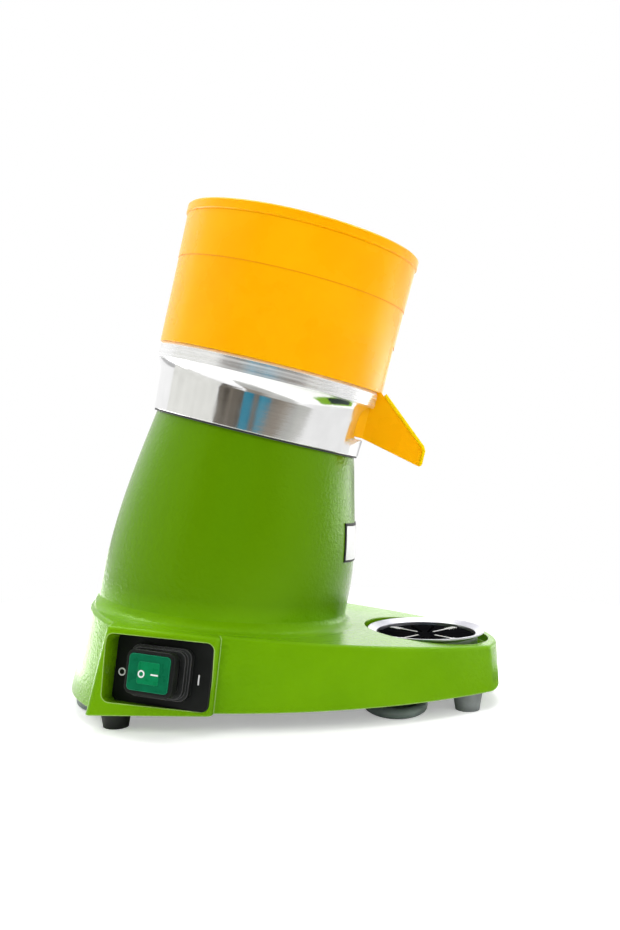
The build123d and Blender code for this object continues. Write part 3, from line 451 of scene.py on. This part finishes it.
def polished_aluminium():
    """Turned and polished aluminium with fine rings round the axis, brushed at the collar's top."""
    made = surface(
        "polished_aluminium",
        shades=((0.84, 0.84, 0.84), (0.92, 0.92, 0.92), (0.97, 0.97, 0.97)),
        patch=0.02,
        shine=(0.07, 0.16),
        grains=[(0.0005, 0.000012, round_axis), (0.0016, 0.000008, round_axis), (0.006, 0.00002, even)],
        edge=0.0008,
        turned=True,
        Metallic=1.0,
    )
    add_brushed_band(made.node_tree)
    return made


def add_brushed_band(tree):
    """Make the top band of the collar rougher and frosted, with deeper turned lines."""
    shader = tree.nodes["Principled BSDF"]
    polished = shader.inputs["Roughness"].links[0].from_socket
    smooth = shader.inputs["Normal"].links[0].from_socket
    place = place_on(tree, True)
    on_band = height_mask(tree, place, straight_up, band_low * mm, (band_low + band_fade) * mm)
    brushed = put(tree, "MapRange", {"Value": on_band, "To Min": polished, "To Max": band_roughness})
    lines = noise(tree, place, band_line, detail=3.0, stretch=round_axis)
    frosted = range_of(tree, lines, *band_metal)
    metal = put(tree, "MapRange", {"Value": on_band, "To Min": 1.0, "To Max": frosted})
    depth = put(tree, "Math", {0: on_band, 1: band_line_depth}, operation="MULTIPLY").outputs["Value"]
    values = {"Height": lines, "Distance": depth, "Strength": 1.0, "Normal": smooth}
    tree.links.new(brushed.outputs["Result"], shader.inputs["Roughness"])
    tree.links.new(metal.outputs["Result"], shader.inputs["Metallic"])
    tree.links.new(put(tree, "Bump", values).outputs["Normal"], shader.inputs["Normal"])


def stainless():
    """Bright drawn stainless steel."""
    return surface(
        "stainless",
        shades=((0.78, 0.78, 0.81), (0.85, 0.85, 0.88), (0.92, 0.92, 0.94)),
        patch=0.015,
        shine=(0.18, 0.3),
        grains=[(0.0004, 0.000004, drawn), (0.003, 0.00001, even)],
        edge=0.0005,
        Metallic=1.0,
    )


def dish_metal():
    """Satin metal of the drip dish."""
    return surface(
        "dish_metal",
        shades=((0.58, 0.58, 0.63), (0.66, 0.66, 0.71), (0.80, 0.80, 0.84)),
        patch=0.015,
        shine=(0.28, 0.4),
        grains=[(0.0004, 0.000006, drawn), (0.003, 0.00001, even)],
        edge=0.0005,
        Metallic=1.0,
    )


def zinc_steel():
    """Zinc-plated sheet and screws with a cloudy spangle."""
    return surface(
        "zinc_steel",
        shades=((0.42, 0.43, 0.45), (0.6, 0.61, 0.63), (0.75, 0.75, 0.76)),
        patch=0.012,
        shine=(0.3, 0.5),
        grains=[(0.004, 0.00002, even), (0.0008, 0.000008, even)],
        edge=0.0006,
        Metallic=1.0,
    )


def lamination_steel():
    """Stacked dark laminations, as fine lines across the axis."""
    return surface(
        "lamination_steel",
        shades=((0.07, 0.07, 0.075), (0.13, 0.13, 0.135), (0.25, 0.25, 0.25)),
        patch=0.008,
        shine=(0.45, 0.65),
        grains=[(0.0006, 0.00005, round_axis)],
        edge=0.0004,
        turned=True,
        Metallic=0.8,
    )


def copper_winding():
    """Enamelled copper turns, as fine cords round the axis."""
    return surface(
        "copper_winding",
        shades=((0.34, 0.10, 0.03), (0.55, 0.20, 0.07), (0.7, 0.35, 0.16)),
        patch=0.006,
        shine=(0.25, 0.4),
        grains=[(0.0012, 0.0003, (30.0, 30.0, 1.0))],
        edge=0.0008,
        turned=True,
        Metallic=0.9,
    )


def cast_aluminium():
    """Die-cast aluminium with its sandy skin."""
    return surface(
        "cast_aluminium",
        shades=((0.38, 0.39, 0.40), (0.48, 0.49, 0.50), (0.66, 0.66, 0.67)),
        patch=0.02,
        shine=(0.42, 0.6),
        grains=[(0.0012, 0.00008, even), (0.0004, 0.00003, even)],
        edge=0.0008,
        Metallic=1.0,
    )


rubber_grains = [(0.0009, 0.00004, even), (0.0003, 0.00001, even)]


def black_rubber():
    """Moulded rubber with a faint bloom, and edges that are rubbed and lightened as a painted
    highlight.
    """
    return surface(
        "black_rubber",
        # Painted highlight: the third shade lightens the edges of the boot's steps and of the feet
        shades=((0.009, 0.010, 0.009), (0.015, 0.016, 0.015), (0.09, 0.09, 0.09)),
        patch=0.008,
        shine=(0.4, 0.55),
        grains=rubber_grains,
        edge=0.0009,
        Specular_IOR_Level=0.4,
    )


def painted_light_rubber():
    """Rubber of the front feet, painted grey for the light that falls on them, where the rear feet stay
    black.
    """
    return surface(
        "painted_light_rubber",
        shades=((0.13, 0.145, 0.14), (0.22, 0.24, 0.235), (0.30, 0.32, 0.31)),
        patch=0.01,
        shine=(0.5, 0.65),
        grains=rubber_grains,
        edge=0.0009,
    )


def grid_black():
    """Matt black coating of the drip grid, with a painted highlight on the crests of its ribs and
    teeth.
    """
    glint_low = (grid_crest - glint_from_depth) * mm
    glint_high = (grid_crest - glint_to_depth) * mm
    return surface(
        "grid_black",
        shades=((0.003, 0.003, 0.004), (0.006, 0.006, 0.007), (0.02, 0.02, 0.02)),
        patch=0.01,
        shine=(0.6, 0.75),
        grains=[(0.0006, 0.00002, even)],
        edge=0.0003,
        # Painted highlight: the crests turn pale grey
        tone=(straight_up, glint_low, glint_high, (0.78, 0.78, 0.78)),
        Specular_IOR_Level=0.0,
    )


def black_plastic():
    """Fine-grained black plastic."""
    return surface(
        "black_plastic",
        shades=((0.004, 0.005, 0.004), (0.007, 0.008, 0.007), (0.04, 0.04, 0.04)),
        patch=0.01,
        shine=(0.38, 0.52),
        grains=[(0.0006, 0.00003, even)],
        edge=0.0006,
        Specular_IOR_Level=0.2,
    )


window_body = {"Specular_IOR_Level": 0.3, "Specular_Tint": (0.2, 1.0, 0.6, 1.0)}


def green_window():
    """Tinted window of the switch, ribbed inside."""
    return surface(
        "green_window",
        shades=((0.0, 0.10, 0.04), (0.0, 0.135, 0.055), (0.02, 0.30, 0.15)),
        patch=0.006,
        shine=(0.24, 0.36),
        grains=[(0.0012, 0.00005, even)],
        edge=0.0007,
        **window_body,
    )


def lens_green():
    """Brighter middle of the switch, over its lamp."""
    return surface(
        "lens_green",
        shades=((0.0, 0.17, 0.055), (0.0, 0.215, 0.075), (0.02, 0.32, 0.15)),
        patch=0.005,
        shine=(0.25, 0.36),
        grains=[(0.0008, 0.00003, even)],
        edge=0.0004,
        **window_body,
    )


def cream_plastic():
    """Smooth pale plastic."""
    return surface(
        "cream_plastic",
        shades=((0.66, 0.63, 0.52), (0.72, 0.69, 0.58), (0.8, 0.78, 0.7)),
        patch=0.02,
        shine=(0.25, 0.35),
        grains=[(0.003, 0.00002, even)],
        edge=0.0008,
    )


def grey_can():
    """Drawn can of the capacitor in its sleeve."""
    return surface(
        "grey_can",
        shades=((0.48, 0.48, 0.46), (0.55, 0.55, 0.53), (0.65, 0.65, 0.63)),
        patch=0.01,
        shine=(0.35, 0.5),
        grains=[(0.002, 0.00003, even)],
        edge=0.0008,
    )


def cord_rubber():
    """Semi-matte sheath of the supply cord, with faint scuffs."""
    return surface(
        "cord_rubber",
        shades=((0.125, 0.16, 0.145), (0.18, 0.225, 0.205), (0.22, 0.26, 0.24)),
        patch=0.012,
        shine=(0.34, 0.5),
        grains=[(0.0012, 0.00003, even), (0.0004, 0.000015, even)],
        edge=0.0005,
    )


def nickel_pins():
    """Nickel-plated contact pins."""
    return surface(
        "nickel_pins",
        shades=((0.60, 0.57, 0.51), (0.70, 0.67, 0.61), (0.85, 0.83, 0.78)),
        patch=0.006,
        shine=(0.15, 0.28),
        grains=[(0.0006, 0.00001, even)],
        edge=0.0004,
        Metallic=1.0,
    )


def mark_white():
    """White ink of the printed marks."""
    return surface(
        "mark_white",
        shades=((0.78, 0.78, 0.77), (0.86, 0.86, 0.85), (0.9, 0.9, 0.9)),
        patch=0.003,
        shine=(0.4, 0.55),
        grains=[(0.0004, 0.00001, even)],
        edge=0.0001,
    )


def badge_satin():
    """Satin face of the bare plate, brushed along its length."""
    return surface(
        "badge_satin",
        shades=((0.72, 0.73, 0.72), (0.80, 0.81, 0.80), (0.9, 0.9, 0.9)),
        patch=0.01,
        shine=(0.28, 0.4),
        grains=[(0.0004, 0.000006, (1.0, 20.0, 1.0))],
        edge=0.0003,
        Metallic=0.6,
    )


node_finish = {
    green_paint: ["body_casting"],
    yellow_plastic: ["bowl"],
    polished_aluminium: ["bowl_collar"],
    stainless: ["strainer", "motor_shaft", "drive_pin", "upper_bearing", "lower_bearing"],
    dish_metal: ["drip_dish"],
    zinc_steel: [
        "bottom_plate",
        "foot_screws",
        "plate_screws",
        "collar_screws",
        "motor_bolts",
        "capacitor_clip",
    ],
    lamination_steel: ["rotor", "stator_stack"],
    copper_winding: ["end_windings"],
    cast_aluminium: ["upper_end_shield", "lower_end_shield"],
    black_rubber: [
        "foot_rear_right",
        "foot_rear_left",
        "shaft_seal",
        "switch_boot",
        "cord_gland",
        "plug_body",
    ],
    # Painted light: the front feet are the same rubber as the rear ones, made grey for the light on
    # them
    painted_light_rubber: ["foot_front_right", "foot_front_left"],
    black_plastic: [
        "cooling_fan",
        "switch_plate",
        "switch_body",
        "switch_rocker",
        "switch_cap_frame",
    ],
    grid_black: ["drip_grid"],
    green_window: ["switch_window"],
    cream_plastic: ["squeezer", "terminal_block"],
    grey_can: ["run_capacitor"],
    nickel_pins: ["plug_pins"],
}


def dress_nodes():
    """Give every CAD node that stays its finish, and return the finishes by name."""
    made = {}
    for finish, names in node_finish.items():
        material = finish()
        made[finish.__name__] = material
        for name in names:
            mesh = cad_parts[name].data
            mesh.materials.clear()
            mesh.materials.append(material)
    return made


def mesh_piece(name, corners, faces, material, body, smooth=False):
    """New mesh object that rides on a body and takes the finish it is given."""
    mesh = bpy.data.meshes.new(name)
    mesh.from_pydata([tuple(corner) for corner in corners], [], faces)
    mesh.update()
    mesh.materials.append(material)
    if smooth:
        mesh.shade_smooth()
    piece = link(bpy.data.objects.new(name, mesh))
    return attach(piece, body)


def rounded_outline(width, height, corner):
    """Outline of a rectangle with rounded corners, anticlockwise."""
    points = []
    centres = [(1, 1), (-1, 1), (-1, -1), (1, -1)]
    for quarter, (side, level) in enumerate(centres):
        for k in range(corner_steps + 1):
            angle = pi / 2 * (quarter + k / corner_steps)
            x = side * (width / 2 - corner) + corner * cos(angle)
            y = level * (height / 2 - corner) + corner * sin(angle)
            points.append((x, y))
    return points


def circle_outline(centre, radius):
    """Outline of a circle, anticlockwise."""
    turns = [2 * pi * k / ring_sides for k in range(ring_sides)]
    return [(centre[0] + radius * cos(turn), centre[1] + radius * sin(turn)) for turn in turns]


def raised(outline, low, high, place, hole=None):
    """Corners and faces of an outline raised off a face, with a like outline as its hole."""
    loops = [outline] if hole is None else [outline, hole]
    corners = []
    faces = []
    for number, loop in enumerate(loops):
        count = len(loop)
        start = len(corners)
        for height in (low, high):
            corners += [place @ scaled((x, y, height)) for x, y in loop]
        for k in range(count):
            step = (k + 1) % count
            side = (start + k, start + step, start + count + step, start + count + k)
            faces.append(side if number == 0 else side[::-1])
    count = len(outline)
    if hole is None:
        faces.append(tuple(range(count, 2 * count)))
        faces.append(tuple(range(count - 1, -1, -1)))
        return corners, faces
    for k in range(count):
        step = (k + 1) % count
        faces.append((count + k, count + step, 3 * count + step, 3 * count + k))
        faces.append((step, k, 2 * count + k, 2 * count + step))
    return corners, faces


def ring_mark(name, centre, radius, level, place, material, body):
    """Printed O on a face."""
    outer = circle_outline(centre, radius)
    inner = circle_outline(centre, radius - mark_line)
    corners, faces = raised(outer, level, level + mark_rise, place, inner)
    mesh_piece(name, corners, faces, material, body)


def bar_mark(name, centre, width, height, level, place, material, body):
    """Printed I on a face."""
    outline = rounded_outline(width, height, mark_line / 3)
    outline = [(centre[0] + x, centre[1] + y) for x, y in outline]
    corners, faces = raised(outline, level, level + mark_rise, place)
    mesh_piece(name, corners, faces, material, body)


def soften(piece, width, segments=3):
    """Round a piece's sharp edges."""
    bevel = piece.modifiers.new("soft_edges", "BEVEL")
    bevel.width = width * mm
    bevel.segments = segments
    bevel.limit_method = "ANGLE"
    return piece


def switch_details():
    """Marks on the plate and the lit lens with its own marks on the rocker's cap."""
    ink = mark_white()
    face = plate_matrix()
    ring_mark("plate_mark_off", plate_ring_place, plate_ring_radius, 0.0, face, ink, "housing")
    bar_mark("plate_mark_on", plate_bar_place, mark_line, plate_bar_length, 0.0, face, ink, "housing")
    cap = rocker_matrix()
    outline = rounded_outline(lens_width, lens_height, lens_corner)
    corners, faces = raised(outline, window_top - lens_rise, window_top + lens_rise, cap)
    lens = mesh_piece("switch_lens", corners, faces, lens_green(), "rocker")
    soften(lens, lens_rise / 2)
    level = window_top + lens_rise
    ring_mark("lens_mark_off", lens_ring_place, lens_ring_radius, level, cap, ink, "rocker")
    bar_mark("lens_mark_on", lens_bar_place, lens_bar_length, mark_line, level, cap, ink, "rocker")


def bent_side(height, foot_radius, taper, bend_radius):
    """Distance from the axis of a side that rises straight and bends in towards the column's top."""
    slope = tan(radians(taper))
    corner = column_top - (foot_radius - column_top_radius) / slope
    reach = bend_radius * tan(radians(taper / 2))
    if height <= corner - reach:
        return foot_radius
    if height >= corner + reach * cos(radians(taper)):
        return column_top_radius + (column_top - height) * slope
    return foot_radius - bend_radius + sqrt(bend_radius**2 - (height - corner + reach) ** 2)


def column_point(height, turn, lift):
    """Point over the column's oval section, in the frame of its axis."""
    rear = bent_side(height, *column_rear_side)
    front = bent_side(height, *column_front_side)
    middle = (front - rear) / 2
    return (middle + ((front + rear) / 2 + lift) * cos(turn), (rear + lift) * sin(turn), height)


def bent_sheet(name, inset, lift, thickness, material):
    """Sheet that lies on the front of the column, drawn in by an inset."""
    place = axis_matrix()
    corners = []
    faces = []
    half_turn = radians(badge_half_angle) - inset / column_top_radius
    for row in range(badge_rows + 1):
        height = badge_low + inset + (badge_high - badge_low - 2 * inset) * row / badge_rows
        for column in range(badge_columns + 1):
            turn = half_turn * (2 * column / badge_columns - 1)
            corners.append(place @ scaled(column_point(height, turn, lift)))
    for row in range(badge_rows):
        for column in range(badge_columns):
            first = row * (badge_columns + 1) + column
            above = first + badge_columns + 1
            faces.append((first, first + 1, above + 1, above))
    sheet = mesh_piece(name, corners, faces, material, "housing", smooth=True)
    solid = sheet.modifiers.new("thickness", "SOLIDIFY")
    solid.thickness = thickness * mm
    solid.offset = 1.0
    return soften(sheet, thickness / 3, 2)


def bare_plate(black):
    """Bare plate on the front of the column: a satin field in a black border."""
    bent_sheet("badge_back", 0.0, 0.0, badge_thickness, black)
    bent_sheet(
        "badge_field",
        badge_border,
        badge_thickness,
        badge_field_thickness,
        badge_satin(),
    )


def axis_ring(name, outline, material, body):
    """Ring about the motor axis, from a closed outline of radii and heights."""
    place = axis_matrix()
    count = len(outline)
    corners = []
    faces = []
    for step in range(ring_segments):
        turn = 2 * pi * step / ring_segments
        corners += [place @ scaled((out * cos(turn), out * sin(turn), up)) for out, up in outline]
        here = step * count
        there = (step + 1) % ring_segments * count
        for k in range(count):
            after = (k + 1) % count
            faces.append((here + k, there + k, there + after, here + after))
    ring = mesh_piece(name, corners, faces, material, body, smooth=True)
    ring.data.set_sharp_from_angle(angle=radians(sharp_angle))
    return ring


def gasket_and_gap_shade(material):
    """Thin black gasket between the collar and the column, which also stands in for the shade in the
    gap there.
    """
    outline = [
        (gasket_inner, gasket_low),
        (gasket_outer, gasket_low),
        (gasket_outer, gasket_high),
        (gasket_inner, gasket_high),
    ]
    return axis_ring("gasket_and_gap_shade", outline, material, "housing")


def upper_sleeve():
    """Upper part of the bowl's wall, a little proud of the part below the parting line."""
    outline = [
        (sleeve_low_radius - sleeve_depth, line_height),
        (sleeve_low_radius - sleeve_chamfer, line_height),
        (sleeve_low_radius, line_height + sleeve_chamfer),
        (sleeve_top_radius, sleeve_top),
        (sleeve_top_radius - sleeve_depth, sleeve_top),
    ]
    return axis_ring("bowl_sleeve", outline, sleeve_plastic(), "bowl")


def parting_line():
    """Fine line round the bowl where its mould parts, painted darker as its shade."""
    low = line_height - line_half_width
    high = line_height + line_half_width
    inner = line_radius - line_relief
    outline = [(inner, low), (line_radius + line_relief, line_height), (inner, high)]
    return axis_ring("parting_line", outline, shade_line_plastic(), "bowl")


def tube_curve(name, radius, rounding, kind, route, material):
    """Curve with a round section that follows points in metres."""
    curve = bpy.data.curves.new(name, "CURVE")
    curve.dimensions = "3D"
    curve.bevel_depth = radius * mm
    curve.bevel_resolution = rounding
    curve.use_fill_caps = True
    spline = curve.splines.new(kind)
    spline.points.add(len(route) - 1)
    for point, place in zip(spline.points, route):
        point.co = (*place, 1.0)
    curve.materials.append(material)
    return curve


def spout_bead():
    """Rounded bead along both top edges of the spout and round its tip, in plastic painted brighter as
    a highlight.
    """
    near = [bead_root, bead_shoulder, bead_tip_top, bead_tip_low, bead_floor]
    both = [(out, -across, up) for out, across, up in near] + near[::-1]
    place = axis_matrix()
    route = [place @ scaled((out + bead_lift, across, up + bead_lift)) for out, across, up in both]
    curve = tube_curve("spout_bead", bead_radius, bead_rounding, "POLY", route, highlight_plastic())
    bead = link(bpy.data.objects.new("spout_bead", curve))
    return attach(bead, "bowl")


def hank_turns():
    """Control points of the folded loops, worked out fold by fold."""
    points = []
    step = pi / fold_points
    outside = 1 / cos(step / 2)
    for across, half_width, length, along, height in hank_folds:
        start = pi if along < 0 else 0.0
        for k in range(fold_points):
            turn = start + step * (k + 0.5)
            x = hank_x + across + half_width * outside * cos(turn)
            y = along + length * outside * sin(turn)
            points.append((x, y, height))
    return points


def make_cord():
    """Supply cord as one smooth curve from its gland, through the hank, to its plug."""
    stations = [gland_tip, *lead_points, *hank_turns(), *tail_points]
    route = [scaled(station) for station in stations]
    sheath = cord_rubber()
    curve = tube_curve("supply_cord", cord_diameter / 2, cord_rounding, "NURBS", route, sheath)
    curve.resolution_u = cord_steps
    spline = curve.splines[0]
    spline.order_u = 3
    spline.use_endpoint_u = True
    cord = link(bpy.data.objects.new("supply_cord", curve))
    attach(cord, "housing")
    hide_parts("cord_lead", "cord_hank", "cord_tail")
    return cord


def make_tie(material):
    """Band that holds the hank together at its middle."""
    outline = rounded_outline(2 * tie_half_width, tie_height, tie_corner)
    inner_width = 2 * (tie_half_width - tie_thickness)
    inner_height = tie_height - 2 * tie_thickness
    inner = rounded_outline(inner_width, inner_height, tie_corner - tie_thickness)
    middle = Matrix.Translation(scaled((hank_x, 0.0, tie_height / 2)))
    upright = middle @ Matrix.Rotation(pi / 2, 4, "X")
    corners, faces = raised(outline, -tie_band / 2, tie_band / 2, upright, inner)
    return mesh_piece("cord_tie", corners, faces, material, "housing")


def stage_plane(name, centre, width, height, facing, material):
    """Flat stage piece that faces a direction."""
    half_w = width / 2
    half_h = height / 2
    mesh = bpy.data.meshes.new(name)
    signs = [(-1, -1), (1, -1), (1, 1), (-1, 1)]
    corners = [(side * half_w, level * half_h, 0.0) for side, level in signs]
    mesh.from_pydata(corners, [], [(0, 1, 2, 3)])
    mesh.materials.append(material)
    plane = link(bpy.data.objects.new(name, mesh))
    plane.location = centre
    plane.rotation_euler = Vector(facing).to_track_quat("Z", "Y").to_euler()
    return plane


def stage_material(name):
    """Node material with nothing in it yet."""
    material = bpy.data.materials.new(name)
    material.use_nodes = True
    material.node_tree.nodes.clear()
    return material, material.node_tree


def floor_white():
    """White floor that keeps shadows and meets the white backdrop."""
    material, tree = stage_material("floor_white")
    seen = put(tree, "LightPath").outputs["Is Camera Ray"]
    place = put(tree, "TexCoord").outputs["Object"]
    grain = range_of(tree, noise(tree, place, floor_grain), 0.0, 1.0)
    tone = colour_between(tree, grain, *floor_tones)
    matt = put(tree, "BsdfDiffuse", {"Color": tone}).outputs["BSDF"]
    lift = put(tree, "Math", {0: seen, 1: floor_lift}, operation="MULTIPLY").outputs["Value"]
    glow = put(tree, "Emission", {"Strength": lift}).outputs["Emission"]
    near = put(tree, "AddShader", {0: matt, 1: glow}).outputs["Shader"]
    away = put(tree, "VectorMath", {0: place}, operation="LENGTH").outputs["Value"]
    away = range_of(tree, away, 0.0, 1.0, floor_white_from, floor_white_to)
    share = put(tree, "Math", {0: seen, 1: away}, operation="MULTIPLY").outputs["Value"]
    white = put(tree, "Emission", {"Strength": white_level}).outputs["Emission"]
    both = put(tree, "MixShader", {0: share, 1: near, 2: white}).outputs["Shader"]
    put(tree, "OutputMaterial", {"Surface": both})
    return material


def make_world():
    """White backdrop to the camera, metal and glass, and soft even light to the rest."""
    world = bpy.data.worlds.new("studio")
    bpy.context.scene.world = world
    world.use_nodes = True
    tree = world.node_tree
    tree.nodes.clear()
    path = put(tree, "LightPath").outputs
    shown = path["Is Camera Ray"]
    for ray in ("Is Glossy Ray", "Is Transmission Ray"):
        shown = put(tree, "Math", {0: shown, 1: path[ray]}, operation="MAXIMUM").outputs["Value"]
    strength = range_of(tree, shown, world_level, white_level, 0.0, 1.0)
    sky = put(tree, "Background", {"Color": (1.0, 1.0, 1.0, 1.0), "Strength": strength})
    put(tree, "OutputWorld", {"Surface": sky.outputs["Background"]})


def card_tone(name, dark, light):
    """Blotchy card that only reflections show."""
    material, tree = stage_material(name)
    place = put(tree, "TexCoord").outputs["Object"]
    blotches = range_of(tree, noise(tree, place, card_blotch, detail=3.0), 0.0, 1.0)
    colour = colour_between(tree, blotches, (*dark, 1.0), (*light, 1.0))
    glow = put(tree, "Emission", {"Color": colour, "Strength": 1.0})
    put(tree, "OutputMaterial", {"Surface": glow.outputs["Emission"]})
    return material


# Ways that the cards face
to_rear = (0.0, 1.0, 0.0)
to_camera = (0.0, -1.0, 0.0)
to_right = (1.0, 0.0, 0.0)
to_left_front = (-0.83, -0.55, 0.0)
upward = (0.0, 0.0, 1.0)
downward = (0.0, -0.35, -0.94)

# Dark and light tones of the cards, and the size of their blotches in metres
card_blotch = 0.25
room_dark = ((0.04, 0.035, 0.03), (0.26, 0.23, 0.19))
room_brown = ((0.20, 0.17, 0.14), (0.36, 0.32, 0.27))
room_pale = ((0.76, 0.76, 0.72), (0.90, 0.90, 0.86))
room_grey = ((0.42, 0.42, 0.40), (0.60, 0.60, 0.57))
room_white = ((0.88, 0.88, 0.88), (0.95, 0.95, 0.95))
room_blue = ((0.02, 0.18, 0.28), (0.10, 0.36, 0.48))
room_green = ((0.22, 0.45, 0.02), (0.30, 0.56, 0.06))
room_black = ((0.02, 0.03, 0.03), (0.07, 0.09, 0.08))
window_white = ((1.9, 1.9, 1.85), (2.2, 2.2, 2.15))
softbox_white = ((3.3, 3.3, 3.25), (3.8, 3.8, 3.75))
glow_white = ((3.8, 3.8, 3.8), (4.4, 4.4, 4.4))
strip_white = ((6.0, 6.0, 6.0), (7.0, 7.0, 7.0))

# Cards, in metres: name, centre, width, height, the way they face and their tones
on_floor = 0.004
over_floor_card = 0.005
reflection_cards = [
    ("card_front", (-0.06, -1.25, 0.6), 2.3, 1.2, to_rear, room_dark),
    ("card_front_right", (1.95, -1.25, 0.6), 1.7, 1.2, to_rear, room_pale),
    ("card_left", (-1.3, -0.4, 0.6), 1.8, 1.2, to_right, room_pale),
    ("card_blue_left", (-0.27, -1.2, 0.5), 0.22, 1.0, to_rear, room_blue),
    ("card_blue_right", (0.08, -1.2, 0.5), 0.26, 1.0, to_rear, room_blue),
    ("card_floor_far", (0.45, -1.0, on_floor), 1.6, 0.5, upward, room_brown),
    ("card_floor_near", (0.45, -0.59, on_floor), 1.6, 0.32, upward, room_grey),
    ("card_floor_right", (0.95, 0.0, on_floor), 1.3, 0.86, upward, room_white),
    ("card_floor_green", (0.215, -0.05, on_floor), 0.11, 0.24, upward, room_green),
    ("card_floor_black", (0.21, -0.022, over_floor_card), 0.08, 0.135, upward, room_black),
    ("card_behind", (0.25, 1.7, 0.45), 0.9, 0.6, to_camera, window_white),
    ("card_floor_left", (-0.75, 0.55, on_floor), 1.1, 1.0, upward, glow_white),
    ("card_softbox", (1.2, 0.8, 0.08), 1.2, 0.16, to_left_front, softbox_white),
    ("card_overhead", (0.0, 0.55, 1.5), 2.4, 0.35, downward, strip_white),
]


def make_cards():
    """Cards round the object that only polished metal, paint and plastic show."""
    for name, centre, width, height, facing, tones in reflection_cards:
        card = stage_plane(name, centre, width, height, facing, card_tone(name, *tones))
        card.visible_camera = False
        card.visible_diffuse = False
        card.visible_shadow = False
        card.visible_transmission = False


# Lamps: name, place and width in metres, and power in watts
lamp_target = (0.0, 0.0, 0.15)
lamps = [
    ("key", (-0.9, -1.1, 1.3), 1.0, 7.5),
    ("fill", (1.1, -1.0, 0.9), 1.0, 6.5),
    ("top", (0.0, 0.3, 1.6), 1.4, 19.0),
    ("back_left", (-1.2, 0.7, 0.8), 0.8, 12.0),
    ("back_right", (1.2, 0.8, 0.8), 0.8, 6.0),
]


def make_lamps():
    """Soft lamps that look at the middle of the object and stay out of reflections."""
    for name, centre, size, power in lamps:
        data = bpy.data.lights.new(name, "AREA")
        data.shape = "DISK"
        data.size = size
        data.energy = power
        lamp = link(bpy.data.objects.new(name, data))
        lamp.location = centre
        look = Vector(lamp_target) - Vector(centre)
        lamp.rotation_euler = look.to_track_quat("-Z", "Y").to_euler()
        lamp.visible_glossy = False


make_camera()
cord = make_cord()
finishes = dress_nodes()
tie = make_tie(finishes["black_plastic"])
switch_details()
gasket_and_gap_shade(finishes["black_rubber"])
upper_sleeve()
parting_line()
spout_bead()
bare_plate(finishes["black_plastic"])

stage_plane("floor", (0.0, 0.0, 0.0), floor_width, floor_width, upward, floor_white())
make_world()
make_cards()
make_lamps()
bpy.context.scene.view_settings.view_transform = "Standard"
